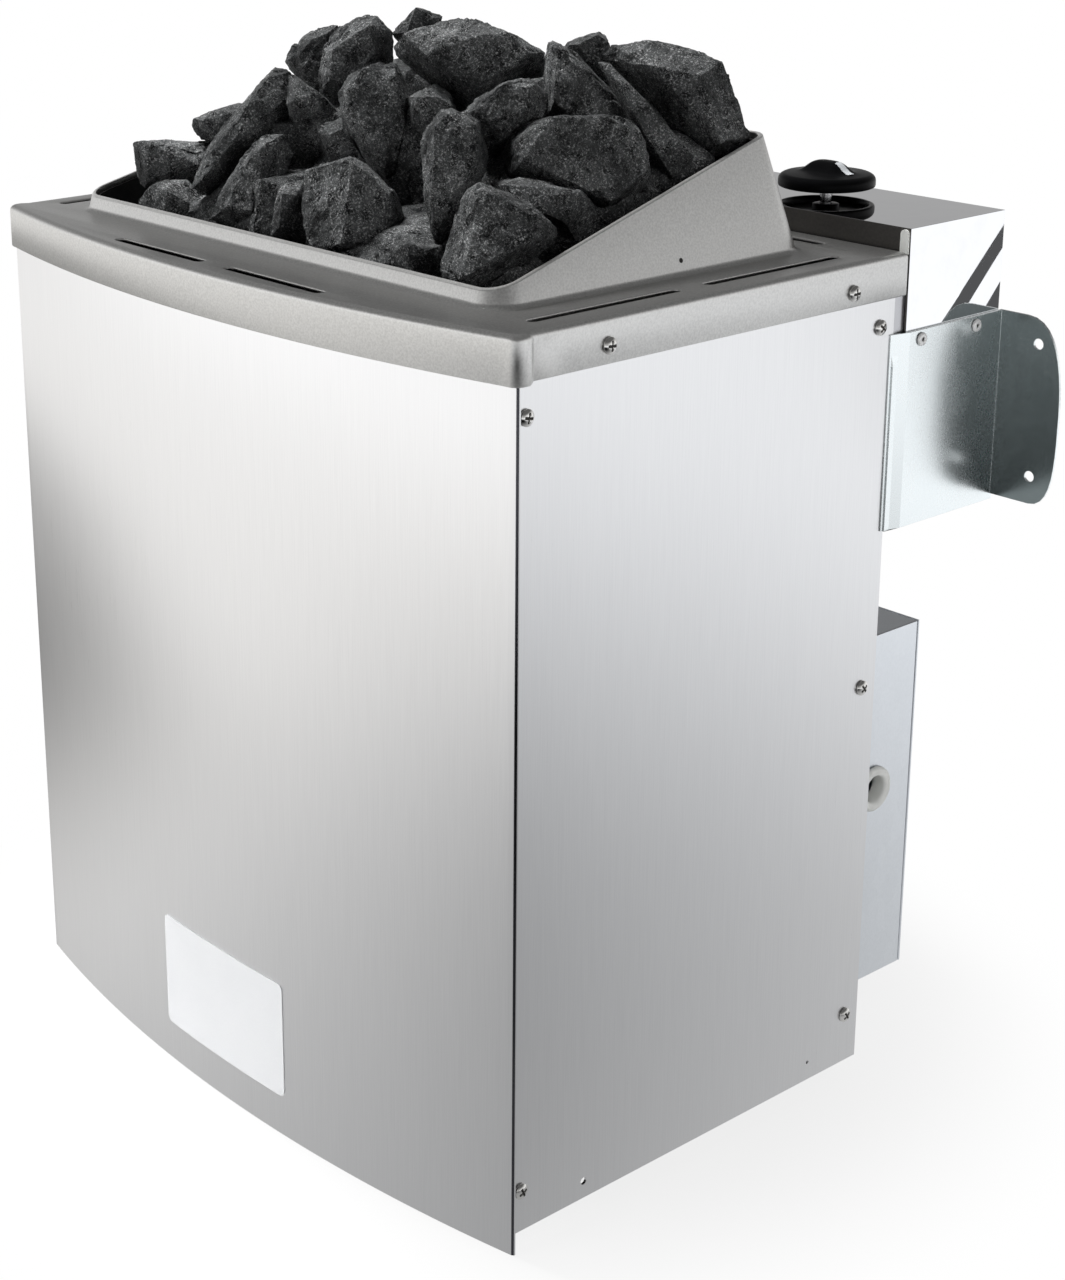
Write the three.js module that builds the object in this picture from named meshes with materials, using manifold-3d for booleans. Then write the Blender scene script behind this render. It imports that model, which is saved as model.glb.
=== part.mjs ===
// Electric sauna heater for a wall: a sheet-metal body around a stone compartment, with the
// controls in a box behind the collar. Millimetres, +Z up, the front faces -Y.
import * as THREE from 'three';
import { ConvexGeometry } from 'three/addons/geometries/ConvexGeometry.js';
import { mergeVertices } from 'three/addons/utils/BufferGeometryUtils.js';
import Module from 'manifold-3d';

const wasm = await Module();
wasm.setup();

// Clearances
const fitGap = 0.3;
const labelGap = 0.1;
const stoneGap = 0.6;
const cutMargin = 5;

// Body panels, measured from the line through the front panel's two upright edges
const sheet = 1.5;
const panelWidth = 410;
const panelBow = 22;
const bodyDepth = 250.5;
const sideInset = 2.5;
const sideBottom = 9.5;
const returnDepth = 20;
const rearFootWidth = 340;
const frontHole = { setback: 49, z: 19, radius: 2 };
const rearHole = { setback: 36, z: 20, radius: 1 };

// Collar and stone guard
const collarTop = 453;
const collarWall = 2;
const collarLip = 22;
const fasciaDrop = 1;
const fasciaGap = 0.5;
const fasciaReach = 4;
const fasciaReturn = 7;
const fasciaCorner = 5;
const collarOverhang = 8.5;
const edgeRound = 2.5;
const guardWidth = 340;
const guardFront = 19;
const guardSetback = 24.5;
const guardCorner = 15;
const guardWall = 2;
const guardLean = 0.276;
const guardFillet = 4;
const rimFront = 8;
const rimRear = 62;
const guardHole = { setback: 118, height: 7, radius: 1.2 };

// Air slots in the collar
const slotWidth = 6;
const frontSlotLength = 75;
const frontSlotGap = 19;
const frontSlotSetback = 14;
const sideSlotLength = 94;
const sideSlotGap = 17;
const sideSlotInset = 16;
const rearSlotSetback = 16;
const rearSlotGap = 141;

// Stone compartment, its floor and the heating elements
const linerRimDrop = 3;
const floorHeight = 290;
const floorFlange = 15;
const floorSlotWidth = 8;
const floorSlotLength = 62;
const floorSlotPitch = 46;
const floorSlotOffset = 52;
const floorFront = 16;
const elementRadius = 4;
const elementCount = 3;
const elementPitch = 90;
const elementSpread = 50;
const elementBend = 22;
const elementDrop = 21;
const elementTopDrop = 43;
const elementEnd = 26;

// Control box behind the collar, riveted between the brackets
const wallStandoff = 88;
const controlRise = 10.8;
const controlHeight = 67.8;
const coverRearGap = 2;
const coverSideRise = 4;
const coverLip = 12;
const coverLipGap = 2.5;
const knobX = 114;
const knobSetback = 34.7;
const shaftRadius = 3;
const shaftDepth = 17;
const controlBody = { width: 42, depth: 42, height: 28 };

// Control knobs
const knobRadius = 25.5;
const knobLift = 4.7;
const knobSkirt = 8;
const knobDome = 2;
const knobEdge = 2.5;
const knobWing = { length: 38, width: 14, height: 5.5 };
const knobRecess = 4;
const knobHub = 7;
const knobRim = 2.5;
const knobBoreDepth = 8;

// Wall brackets
const webHeight = 102;
const webLap = 16;
const wallFlange = 40;
const wallFlangeRise = 3;
const wallFlangeNeck = 17;
const wallHoleRadius = 2.9;
const wallHoleReach = 25;
const wallHoleInsets = { low: 17.6, high: 14 };
const webFoot = 30;
const rivetSetbacks = [21.2, 65.2];
const rivetDrop = 4.8;
const rivetHead = { radius: 3.4, height: 1.3 };
const rivetShank = { radius: 1.6, length: 7 };
const rivetCore = { radius: 0.8, depth: 1 };

// Connection box on the rear panel
const boxWidth = 372;
const boxBottom = 40;
const boxTop = 243;
const boxDepth = 60;
const grommetSetback = 27.3;
const grommetZ = 154.5;
const grommet = { bore: 6.5, body: 8.8, collar: 11.5, reach: 3, round: 2, nut: 4 };
const terminal = { x: 60, z: 150, width: 70, height: 26, depth: 18, entries: 5, entryRadius: 2 };

// Screws
const screwHead = { radius: 4, height: 2.4 };
const screwShank = { radius: 1.8, length: 8 };
const crossRecess = { length: 4.6, width: 1, depth: 1.2 };
const screwSides = 10;
const frontScrewY = 6.8;
const rearScrewInset = 7.5;
const frontScrews = { low: 32, drop: 38 };
const rearScrews = { low: 38, middle: 227, drop: 36 };
const collarScrewFront = { setback: 54, drop: 13.5 };
const collarScrewRear = { setback: 31.5, drop: 15 };

// Blank label on the front
const label = { width: 105, bottom: 23, height: 65, thickness: 0.3 };

// Stones that show. Places are measured from the middle of the guard's front at the collar's top:
// across, back, up. Outlines run across the pile's diagonal and upward from there, with some of
// the corners of the face that looks out of the pile, and half is half the depth through the pile.
const stones = [
  { at: [-49, 141, 96], half: 18,
    outline: [[-14, -4], [-11, 2], [-4, 8], [1, 10], [5, 10], [10, 8], [14, 0], [11, -10], [-8, -10]] },
  { at: [-54, 103, 81], half: 22,
    outline: [
      [-20, -18], [-20, -7], [-18, 4], [-12, 17], [0, 22], [6, 25], [11, 23], [19, 15], [20, 1],
      [12, -16], [-9, -25],
    ] },
  { at: [-92, 104, 78], half: 18,
    outline: [[-16, 0], [-11, 8], [-2, 16], [4, 16], [13, 19], [16, 0], [8, -19], [-1, -17], [-9, -9]] },
  { at: [24, 113, 85], half: 30,
    outline: [
      [-38, 10], [-34, 15], [-14, 22], [-1, 24], [15, 19], [26, 12], [38, 5], [38, -5], [18, -9],
      [-4, -24], [-19, -10], [-37, 6],
    ],
    front: [[-22, 1], [-9, 10], [18, 11], [29, 1], [1, -16]] },
  { at: [6, 66, 58], half: 22,
    outline: [
      [2, 32], [11, 30], [16, 21], [18, 10], [19, -13], [17, -27], [6, -32], [0, -27], [-7, -13],
      [-17, 4], [-19, 16], [-13, 26],
    ],
    front: [[-12, 15], [-5, 25], [10, 21], [13, 2], [5, -24], [-8, -2]] },
  { at: [-73, 48, 48], half: 22,
    outline: [
      [12, 34], [5, 26], [-15, 5], [-25, -8], [-31, -25], [-31, -31], [-23, -34], [-14, -22], [5, -4],
      [23, 4], [31, 17], [20, 30],
    ],
    front: [[10, 25], [-1, 10], [-21, -15], [-25, -27], [-6, -5], [17, 13]] },
  { at: [-126, 33, 25], half: 22,
    outline: [[-22, 14], [-11, 13], [7, 10], [21, 13], [22, -3], [13, -14], [-15, -13], [-18, -7]] },
  { at: [-47, 28, 25], half: 20,
    outline: [
      [-21, -16], [-18, -7], [-2, 18], [5, 25], [16, 25], [21, 17], [19, 8], [11, -8], [7, -25],
      [-7, -25],
    ],
    front: [[8, 20], [5, 2], [1, -15], [-12, -12], [-1, 11]] },
  { at: [35, 28, 24], half: 24,
    outline: [
      [-25, 14], [-23, 20], [-16, 23], [-1, 25], [5, 23], [21, 8], [25, -3], [24, -13], [9, -21],
      [-1, -25], [-14, -23], [-22, -18], [-24, -5],
    ],
    front: [[-21, 13], [0, 21], [17, 7], [22, -6], [8, -18], [-17, -18]] },
  { at: [90, 15, 7], half: 18,
    outline: [[-20, 2], [-12, 7], [-5, 11], [5, 12], [18, 10], [20, -7], [7, -12], [-12, -8]] },
  { at: [132, 36, 23], half: 26,
    outline: [
      [-27, -12], [-22, 5], [-18, 16], [-15, 23], [-9, 25], [-1, 24], [13, 16], [27, 5], [26, -1],
      [14, -11], [-5, -20], [-14, -25], [-25, -22],
    ],
    front: [[-9, 21], [-14, 1], [-16, -19], [0, -12], [21, 4]] },
  { at: [86, 49, 44], half: 22,
    outline: [
      [-16, 17], [-13, 24], [-6, 32], [0, 32], [12, 26], [16, 14], [14, -1], [4, -17], [-6, -32],
      [-11, -30], [-14, -13],
    ],
    front: [[-10, 21], [-2, 29], [9, 22], [11, 8], [7, 0], [-10, -2]] },
  { at: [77, 88, 67], half: 22,
    outline: [
      [-22, 2], [-11, 8], [-1, 17], [9, 18], [20, 20], [22, 10], [19, 0], [8, -7], [-1, -19],
      [-10, -20], [-18, -9],
    ] },
  { at: [112, 104, 45], half: 28,
    outline: [
      [-36, 7], [-34, 15], [-28, 21], [-12, 25], [15, 25], [26, 21], [34, 5], [36, -5], [32, -11],
      [11, -25], [1, -17], [-18, -10], [-33, -4],
    ],
    front: [[-30, 11], [-14, 21], [13, 21], [28, 13], [31, -4], [13, -19], [3, -10], [-27, 1]] },
  { at: [90, 143, 67], half: 26,
    outline: [
      [-29, 26], [-28, 33], [-24, 34], [-20, 32], [-13, 28], [4, 9], [19, -8], [28, -20], [29, -29],
      [18, -34], [-12, -20], [-29, -5], [-28, 9],
    ],
    front: [[-25, 26], [-16, 22], [-1, 4], [15, -12], [18, -21], [-7, -13], [-26, 1]] },
  { at: [117, 168, 71], half: 30,
    outline: [
      [-39, 23], [-33, 28], [-16, 29], [-4, 27], [9, 20], [27, 18], [35, 16], [38, 10], [39, -5],
      [39, -16], [23, -27], [11, -29], [-8, -9], [-27, 11],
    ],
    front: [[-17, 14], [5, 8], [29, 11], [35, 3], [35, -12], [17, -23], [10, -14], [0, 1]] },
];

// Stones between, behind and under those, pressed into one bed that fills the compartment. The
// hidden ones have half-lengths across, upward and through the pile instead of an outline.
const fillStones = [
  { at: [-112, 59, 46], half: 18,
    outline: [
      [-19, -1], [-17, 3], [-9, 7], [7, 12], [19, 10], [16, -3], [-7, -12], [-16, -6],
    ] },
  { at: [-106, 17, 9], half: 18,
    outline: [
      [-22, 2], [-16, 6], [-2, 13], [10, 13], [19, 2], [22, -8], [11, -13], [-10, -9],
    ] },
  { at: [-4, 22, 17], half: 16,
    outline: [
      [-12, -11], [-10, 0], [-8, 12], [-4, 16], [5, 18], [11, 7], [12, -17], [1, -18],
    ] },
  { at: [-8, 57, 47], half: 16,
    outline: [
      [-14, 8], [-11, 11], [-1, 14], [5, 6], [14, -8], [13, -14], [-2, -9], [-9, -4],
    ] },
  { at: [31, 83, 64], half: 18,
    outline: [
      [-12, 9], [-5, 12], [2, 16], [8, 10], [12, 3], [6, -7], [-6, -16], [-12, -7],
    ] },
  { at: [60, 160, 89], half: 18,
    outline: [
      [-13, 5], [-3, 9], [6, 12], [10, 11], [13, 5], [13, -12], [2, -10], [-8, -3],
    ] },
  { at: [120, 75, 30], half: 22,
    outline: [
      [-26, 13], [-12, 15], [19, 9], [26, -3], [15, -15], [1, -13], [-16, 0],
    ] },
  { at: [123, 138, 66], half: 12,
    outline: [
      [-23, 29], [-18, 28], [-6, 16], [10, 0], [23, -19], [13, -29], [3, -20], [-14, 11],
    ] },
  { at: [-45, 67, 66], half: 18,
    outline: [
      [-13, 13], [-7, 10], [4, 2], [15, -9], [9, -13], [-7, -13], [-15, -7],
    ] },
  { at: [-112, 130, 44], size: [36, 34, 32] },
  { at: [-72, 164, 52], size: [34, 34, 30] },
  { at: [2, 166, 58], size: [36, 34, 30] },
  { at: [-28, 160, 76], size: [26, 26, 24] },
  { at: [-60, 112, 46], size: [22, 24, 22] },
  { at: [128, 46, -4], size: [34, 22, 28] },
  { at: [118, 160, 34], size: [34, 34, 30] },
  { at: [58, 168, 62], size: [28, 34, 26] },
  { at: [48, 162, 28], size: [34, 40, 34] },
  { at: [-40, 84, 44], size: [28, 24, 26] },
];
const coreStones = [
  { at: [-88, 100, 10], size: [70, 50, 70] },
  { at: [0, 112, 24], size: [76, 54, 66] },
  { at: [84, 116, 16], size: [70, 52, 66] },
  { at: [-44, 60, -6], size: [74, 44, 54] },
  { at: [62, 58, -8], size: [74, 42, 54] },
];
const bedRock = { pitch: 104, size: [66, 88, 66] };

// The lists of stones hold for a guard of this width and depth, and follow it
const pileGuard = { across: 340, back: 207 };
const rockShape = { corners: 7, wear: 0.16, wander: 0.3, faceLeast: 0.45, faceMost: 0.75, faceDepth: 0.72 };

// Places worked out from the sizes above
const panelHalf = panelWidth / 2;
const bowRadius = (panelHalf ** 2 + panelBow ** 2) / (2 * panelBow);
const bowCentre = bowRadius - panelBow;
const collarRear = bodyDepth + collarOverhang;
const guardRear = bodyDepth - guardSetback;
const wallPlane = bodyDepth + wallStandoff;
const controlTop = collarTop + controlRise;
const controlBottom = controlTop - controlHeight;
const coverFront = collarRear + coverLipGap;
const coverLipRear = coverFront + sheet;
const coverSideBottom = controlBottom + coverSideRise;
const knobY = wallPlane - knobSetback;
const webTop = controlBottom + webLap;
const webBottom = webTop - webHeight;
const wallHoleHeights = [webBottom + wallHoleInsets.low, webTop - wallHoleInsets.high];
const rivetPlaces = rivetSetbacks.map((setback) => bodyDepth + setback);
const rivetHeight = webTop - rivetDrop;
const boxBack = bodyDepth + boxDepth;
const grommetY = bodyDepth + grommetSetback;
const elementTop = collarTop - elementTopDrop;
const frontScrewHeights = [frontScrews.low, collarTop - frontScrews.drop];
const rearScrewHeights = [rearScrews.low, rearScrews.middle, collarTop - rearScrews.drop];
const collarScrews = [
  { y: collarScrewFront.setback, z: collarTop - collarScrewFront.drop },
  { y: bodyDepth - collarScrewRear.setback, z: collarTop - collarScrewRear.drop },
];
const sideOuter = panelHalf - sideInset;
const sideInner = sideOuter - sheet;
const returnOuter = sideInner - fitGap;
const returnInner = returnOuter - sheet;
const panelTop = collarTop - collarWall - fitGap;
const rearInner = bodyDepth - sheet;
const behindBody = bodyDepth + fitGap;
const lipOuter = sideOuter + fitGap + collarWall;
const lipBottom = collarTop - collarLip;
const fasciaRadius = bowRadius + fasciaGap + collarWall;
const rimSlope = (rimRear - rimFront) / (guardRear - guardFront);
const guardCeiling = collarTop + 2 * rimRear;
const linerOutset = guardWall + fitGap;
const trayOuter = sideOuter - fitGap;
const trayInner = trayOuter - sheet;
const coverInner = trayOuter + fitGap;
const coverOuter = coverInner + sheet;
const coverRear = wallPlane - coverRearGap;
const trayRear = coverRear - sheet - fitGap;
const trayTop = controlTop - sheet - fitGap;
const webInner = coverOuter + fitGap;
const webOuter = webInner + sheet;
const boxHalf = boxWidth / 2;
const elementHeight = boxTop - elementDrop;
const elementMiddle = (guardFront + guardRear) / 2;
const rearScrewY = bodyDepth - rearScrewInset;
const frontMost = bowCentre - fasciaRadius;

const frontInner = (x) => bowCentre - Math.sqrt((bowRadius - sheet) ** 2 - x ** 2);
const leanAt = (z) => guardLean * Math.max(0, z - collarTop);
const vector = (x, y, z) => new THREE.Vector3(x, y, z);

// Directions that an extruded outline can face
const up = new THREE.Matrix4();
const alongX = new THREE.Matrix4().makeBasis(vector(0, 1, 0), vector(0, 0, 1), vector(1, 0, 0));
const alongY = new THREE.Matrix4().makeBasis(vector(0, 0, 1), vector(1, 0, 0), vector(0, 1, 0));

function solid(geometry) {
  const bare = geometry.clone();
  bare.deleteAttribute('normal');
  bare.deleteAttribute('uv');
  const merged = mergeVertices(bare);
  const vertProperties = new Float32Array(merged.attributes.position.array);
  const triVerts = new Uint32Array(merged.index.array);
  return new wasm.Manifold(new wasm.Mesh({ numProp: 3, vertProperties, triVerts }));
}

function geometryOf(body) {
  const mesh = body.getMesh();
  const geometry = new THREE.BufferGeometry();
  geometry.setAttribute('position', new THREE.BufferAttribute(mesh.vertProperties, 3));
  geometry.setIndex(new THREE.BufferAttribute(mesh.triVerts, 1));
  geometry.computeVertexNormals();
  return geometry;
}

function joined(...geometries) {
  return geometries.map(solid).reduce((whole, piece) => whole.add(piece));
}

function cut(body, geometries) {
  return geometries.map(solid).reduce((rest, piece) => rest.subtract(piece), body);
}

function mirrored(geometry) {
  const copy = geometry.clone().scale(-1, 1, 1);
  const order = copy.index.array;
  for (let i = 0; i < order.length; i += 3) {
    [order[i], order[i + 1]] = [order[i + 1], order[i]];
  }
  copy.computeVertexNormals();
  return copy;
}

function box(x0, x1, y0, y1, z0, z1) {
  const middle = [(x0 + x1) / 2, (y0 + y1) / 2, (z0 + z1) / 2];
  return new THREE.BoxGeometry(x1 - x0, y1 - y0, z1 - z0).translate(...middle);
}

// A round bar along an axis, from one place on that axis to another
function bar(axis, radius, from, to, [u, v], sides = 16) {
  const rod = new THREE.CylinderGeometry(radius, radius, to - from, sides);
  const middle = (from + to) / 2;
  if (axis === 'x') return rod.rotateZ(-Math.PI / 2).translate(middle, u, v);
  if (axis === 'y') return rod.translate(u, middle, v);
  return rod.rotateX(Math.PI / 2).translate(u, v, middle);
}

function extruded(outline, from, to, facing = up, curveSegments = 6) {
  const depth = to - from;
  const options = { depth, bevelEnabled: false, curveSegments };
  return new THREE.ExtrudeGeometry(outline, options).translate(0, 0, from).applyMatrix4(facing);
}

function polygon(points) {
  return new THREE.Shape(points.map(([x, y]) => new THREE.Vector2(x, y)));
}

// A turned piece on the Z axis from a closed profile of radius and height pairs
function turned(profile, sides) {
  const points = profile.map(([r, h]) => new THREE.Vector2(r, h));
  return new THREE.LatheGeometry(points, sides).rotateX(Math.PI / 2);
}

// Rings with the same number of points, lowest first, closed at both ends
function loft(rings) {
  const count = rings[0].length;
  const positions = rings.flat().flatMap((p) => [p.x, p.y, p.z]);
  const index = [];
  for (let r = 0; r + 1 < rings.length; r += 1) {
    for (let k = 0; k < count; k += 1) {
      const a = r * count + k;
      const b = r * count + ((k + 1) % count);
      index.push(a, b, b + count, a, b + count, a + count);
    }
  }
  const last = (rings.length - 1) * count;
  for (let k = 1; k + 1 < count; k += 1) {
    index.push(0, k + 1, k, last, last + k, last + k + 1);
  }
  const geometry = new THREE.BufferGeometry();
  geometry.setAttribute('position', new THREE.Float32BufferAttribute(positions, 3));
  geometry.setIndex(index);
  return geometry;
}

// A sheet bowed like the front panel, between two radii
function bowedSheet(halfWidth, innerRadius, outerRadius, z0, z1, steps) {
  const reach = Math.asin(halfWidth / outerRadius);
  const front = -Math.PI / 2;
  const outline = new THREE.Shape();
  outline.absarc(0, bowCentre, outerRadius, front - reach, front + reach, false);
  outline.absarc(0, bowCentre, innerRadius, front + reach, front - reach, true);
  return extruded(outline, z0, z1, up, steps);
}

// A slot with round ends, lying along X or along Y
function slot(length, width, x, y, z0, z1, lengthwise = false) {
  const run = (length - width) / 2;
  const outline = new THREE.Shape();
  outline.absarc(run, 0, width / 2, -Math.PI / 2, Math.PI / 2, false);
  outline.absarc(-run, 0, width / 2, Math.PI / 2, (3 * Math.PI) / 2, false);
  const body = extruded(outline, z0, z1, up, 3);
  return (lengthwise ? body.rotateZ(Math.PI / 2) : body).translate(x, y, 0);
}

// One level of the stone guard's rounded plan, drawn in by an inset
function guardRing(inset, z) {
  const cornerSteps = 3;
  const half = guardWidth / 2 - inset;
  const front = guardFront + inset;
  const rear = guardRear - inset;
  const radius = Math.max(guardCorner - Math.max(inset, 0), guardCorner / 3);
  const centres = [
    [half - radius, rear - radius],
    [radius - half, rear - radius],
    [radius - half, front + radius],
    [half - radius, front + radius],
  ];
  return centres.flatMap(([x, y], corner) => Array.from({ length: cornerSteps + 1 }, (_, k) => {
    const angle = (corner + k / cornerSteps) * (Math.PI / 2);
    return vector(x + radius * Math.cos(angle), y + radius * Math.sin(angle), z);
  }));
}

// Everything above the guard's sloping rim, lowered by a drop
function aboveRim(drop) {
  const before = guardFront - guardWidth;
  const after = guardRear + guardWidth;
  const rimAt = (y) => collarTop + rimFront - drop + rimSlope * (y - guardFront);
  const highest = rimAt(after) + guardCeiling;
  const outline = polygon([[before, rimAt(before)], [after, rimAt(after)], [after, highest], [before, highest]]);
  return extruded(outline, -guardWidth, guardWidth, alongX);
}

// The space inside the guard and the stone compartment, upright below the collar's top
function guardSpace(inset, from) {
  return loft([
    guardRing(inset, from),
    guardRing(inset, collarTop),
    guardRing(inset + leanAt(guardCeiling), guardCeiling),
  ]);
}

function frontPanel() {
  const skin = bowedSheet(panelHalf, bowRadius - sheet, bowRadius, 0, panelTop, 14);
  const start = frontInner(returnOuter) - sheet / 2;
  const right = box(returnInner, returnOuter, start, returnDepth, sideBottom, panelTop);
  const left = box(-returnOuter, -returnInner, start, returnDepth, sideBottom, panelTop);
  const holes = frontScrewHeights.map((z) => screwHole(frontScrewY, z));
  return geometryOf(cut(joined(skin, right, left), holes));
}

// A hole right through both sides of the body
function screwHole(y, z, radius = screwShank.radius + fitGap) {
  const reach = panelHalf + cutMargin;
  return bar('x', radius, -reach, reach, [y, z], 10);
}

function sidePanel() {
  const front = frontInner(sideOuter) + fitGap;
  const skin = solid(box(sideInner, sideOuter, front, bodyDepth, sideBottom, panelTop));
  const holes = [
    ...frontScrewHeights.map((z) => screwHole(frontScrewY, z)),
    ...rearScrewHeights.map((z) => screwHole(rearScrewY, z)),
    ...collarScrews.map(({ y, z }) => screwHole(y, z)),
    screwHole(frontHole.setback, frontHole.z, frontHole.radius),
    screwHole(bodyDepth - rearHole.setback, rearHole.z, rearHole.radius),
  ];
  return geometryOf(cut(skin, holes));
}

// Where the heating elements' legs pass the upright sheets
function elementLegs() {
  return Array.from({ length: elementCount }, (_, i) => (i - (elementCount - 1) / 2) * elementPitch)
    .flatMap((x) => [x - elementSpread / 2, x + elementSpread / 2]);
}

function elementHoles(y0, y1) {
  return elementLegs().map((x) => bar('y', elementRadius + fitGap, y0, y1, [x, elementHeight], 10));
}

function rearPanel() {
  const foot = rearFootWidth / 2;
  const outline = polygon([
    [0, foot], [sideBottom, foot], [sideBottom, returnOuter], [panelTop, returnOuter],
    [panelTop, -returnOuter], [sideBottom, -returnOuter], [sideBottom, -foot], [0, -foot],
  ]);
  const back = extruded(outline, rearInner, bodyDepth, alongY);
  const foldStart = bodyDepth - returnDepth;
  const right = box(returnInner, returnOuter, foldStart, bodyDepth, sideBottom, panelTop);
  const left = box(-returnOuter, -returnInner, foldStart, bodyDepth, sideBottom, panelTop);
  const holes = rearScrewHeights.map((z) => screwHole(rearScrewY, z));
  return geometryOf(cut(joined(back, right, left), [...holes, ...elementHoles(foldStart, behindBody)]));
}

// The collar's plan: bowed fascia with round corners, stepping in to the side lips
function collarOutline(inset, rear) {
  const radius = fasciaRadius - inset;
  const ends = panelHalf + fasciaReach - inset;
  const sides = lipOuter - inset;
  const corner = Math.max(fasciaCorner - inset, fasciaCorner / 4);
  const step = fasciaReturn - inset;
  const reach = Math.asin((ends - corner) / radius);
  const front = -Math.PI / 2;
  const cornerY = bowCentre - radius * Math.cos(reach);
  const outline = new THREE.Shape();
  outline.absarc(0, bowCentre, radius, front - reach, front + reach, false);
  outline.quadraticCurveTo(ends, cornerY, ends, cornerY + corner);
  outline.lineTo(ends, step);
  outline.lineTo(sides, step + ends - sides);
  outline.lineTo(sides, rear);
  outline.lineTo(-sides, rear);
  outline.lineTo(-sides, step + ends - sides);
  outline.lineTo(-ends, step);
  outline.lineTo(-ends, cornerY + corner);
  outline.quadraticCurveTo(-ends, cornerY, corner - ends, cornerY);
  return outline;
}

function collarSlots() {
  const z0 = collarTop - collarLip;
  const z1 = collarTop + cutMargin;
  const frontX = (frontSlotGap + frontSlotLength) / 2;
  const frontY = frontMost + frontSlotSetback;
  const sideX = lipOuter - sideSlotInset;
  const sideMiddle = (guardFront + guardRear) / 2;
  const sideY = (sideSlotGap + sideSlotLength) / 2;
  const rearX = (rearSlotGap + sideSlotLength) / 2;
  const rearY = collarRear - rearSlotSetback;
  return [-1, 1].flatMap((side) => [
    slot(frontSlotLength, slotWidth, side * frontX, frontY, z0, z1),
    slot(sideSlotLength, slotWidth, side * sideX, sideMiddle - sideY, z0, z1, true),
    slot(sideSlotLength, slotWidth, side * sideX, sideMiddle + sideY, z0, z1, true),
    slot(sideSlotLength, slotWidth, side * rearX, rearY, z0, z1),
  ]);
}

function topCollar() {
  const fasciaBottom = lipBottom - fasciaDrop;
  const depth = collarLip + cutMargin;
  const rounding = { bevelThickness: edgeRound, bevelSize: edgeRound, bevelOffset: -edgeRound };
  const options = { depth, curveSegments: 7, bevelSegments: 3, ...rounding };
  const block = new THREE.ExtrudeGeometry(collarOutline(0, collarRear), options);
  block.translate(0, 0, collarTop - edgeRound - depth);
  const inside = extruded(collarOutline(collarWall, collarRear + cutMargin), 0, collarTop - collarWall, up, 7);
  const reach = lipOuter + cutMargin;
  const belowFascia = box(-2 * reach, 2 * reach, -2 * reach, 2 * reach, 0, fasciaBottom);
  const lipStart = fasciaReturn + fasciaReach + cutMargin;
  const belowLips = box(-2 * reach, 2 * reach, lipStart, 2 * reach, 0, lipBottom);
  const filletSteps = 3;
  const fillet = Array.from({ length: filletSteps + 1 }, (_, k) => {
    const angle = (k / filletSteps) * (Math.PI / 2);
    const z = collarTop + guardFillet * (1 - Math.cos(angle));
    return guardRing(leanAt(z) - guardFillet * (1 - Math.sin(angle)), z);
  });
  const guard = loft([
    guardRing(-guardFillet, collarTop - collarWall / 2),
    ...fillet,
    guardRing(leanAt(guardCeiling), guardCeiling),
  ]);
  const opening = guardSpace(guardWall, lipBottom);
  const holes = collarScrews.map(({ y, z }) => screwHole(y, z));
  const vent = screwHole(guardFront + guardHole.setback, collarTop + guardHole.height, guardHole.radius);
  const shell = cut(solid(block), [inside, belowFascia, belowLips]).add(solid(guard));
  return geometryOf(cut(shell, [opening, aboveRim(0), ...holes, vent, ...collarSlots()]));
}

function stoneCompartment() {
  const bottom = floorHeight + fitGap;
  const outer = solid(guardSpace(linerOutset, bottom));
  const inner = guardSpace(linerOutset + sheet, bottom - cutMargin);
  return geometryOf(cut(outer, [inner, aboveRim(linerRimDrop)]));
}

function stoneFloor() {
  const rear = rearInner - fitGap;
  const plate = box(-returnOuter, returnOuter, floorFront, rear, floorHeight - sheet, floorHeight);
  const foldRear = bodyDepth - returnDepth - fitGap;
  const foldFront = returnDepth + fitGap;
  const foldTop = floorHeight - sheet / 2;
  const right = box(returnInner, returnOuter, foldFront, foldRear, floorHeight - floorFlange, foldTop);
  const left = box(-returnOuter, -returnInner, foldFront, foldRear, floorHeight - floorFlange, foldTop);
  const z0 = floorHeight - floorFlange;
  const z1 = floorHeight + cutMargin;
  const count = Math.floor((guardWidth - 2 * guardCorner) / floorSlotPitch);
  const slots = Array.from({ length: count }, (_, i) => (i - (count - 1) / 2) * floorSlotPitch)
    .flatMap((x) => [-floorSlotOffset, floorSlotOffset].map((offset) => {
      const y = elementMiddle + offset;
      const half = floorSlotWidth / 2;
      return box(x - half, x + half, y - floorSlotLength / 2, y + floorSlotLength / 2, z0, z1);
    }));
  const legs = elementLegs().map((x) => bar('z', elementRadius + fitGap, z0, z1, [x, elementMiddle], 8));
  const inset = sheet + 2 * fitGap;
  const notch = (x0, x1, y0, y1) => box(x0, x1, y0, y1, z0, z1);
  const corners = [
    notch(returnOuter - inset, returnOuter + inset, 0, foldFront),
    notch(-returnOuter - inset, inset - returnOuter, 0, foldFront),
    notch(returnOuter - inset, returnOuter + inset, foldRear, bodyDepth),
    notch(-returnOuter - inset, inset - returnOuter, foldRear, bodyDepth),
  ];
  return geometryOf(cut(joined(plate, right, left), [...slots, ...legs, ...corners]));
}

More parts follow.
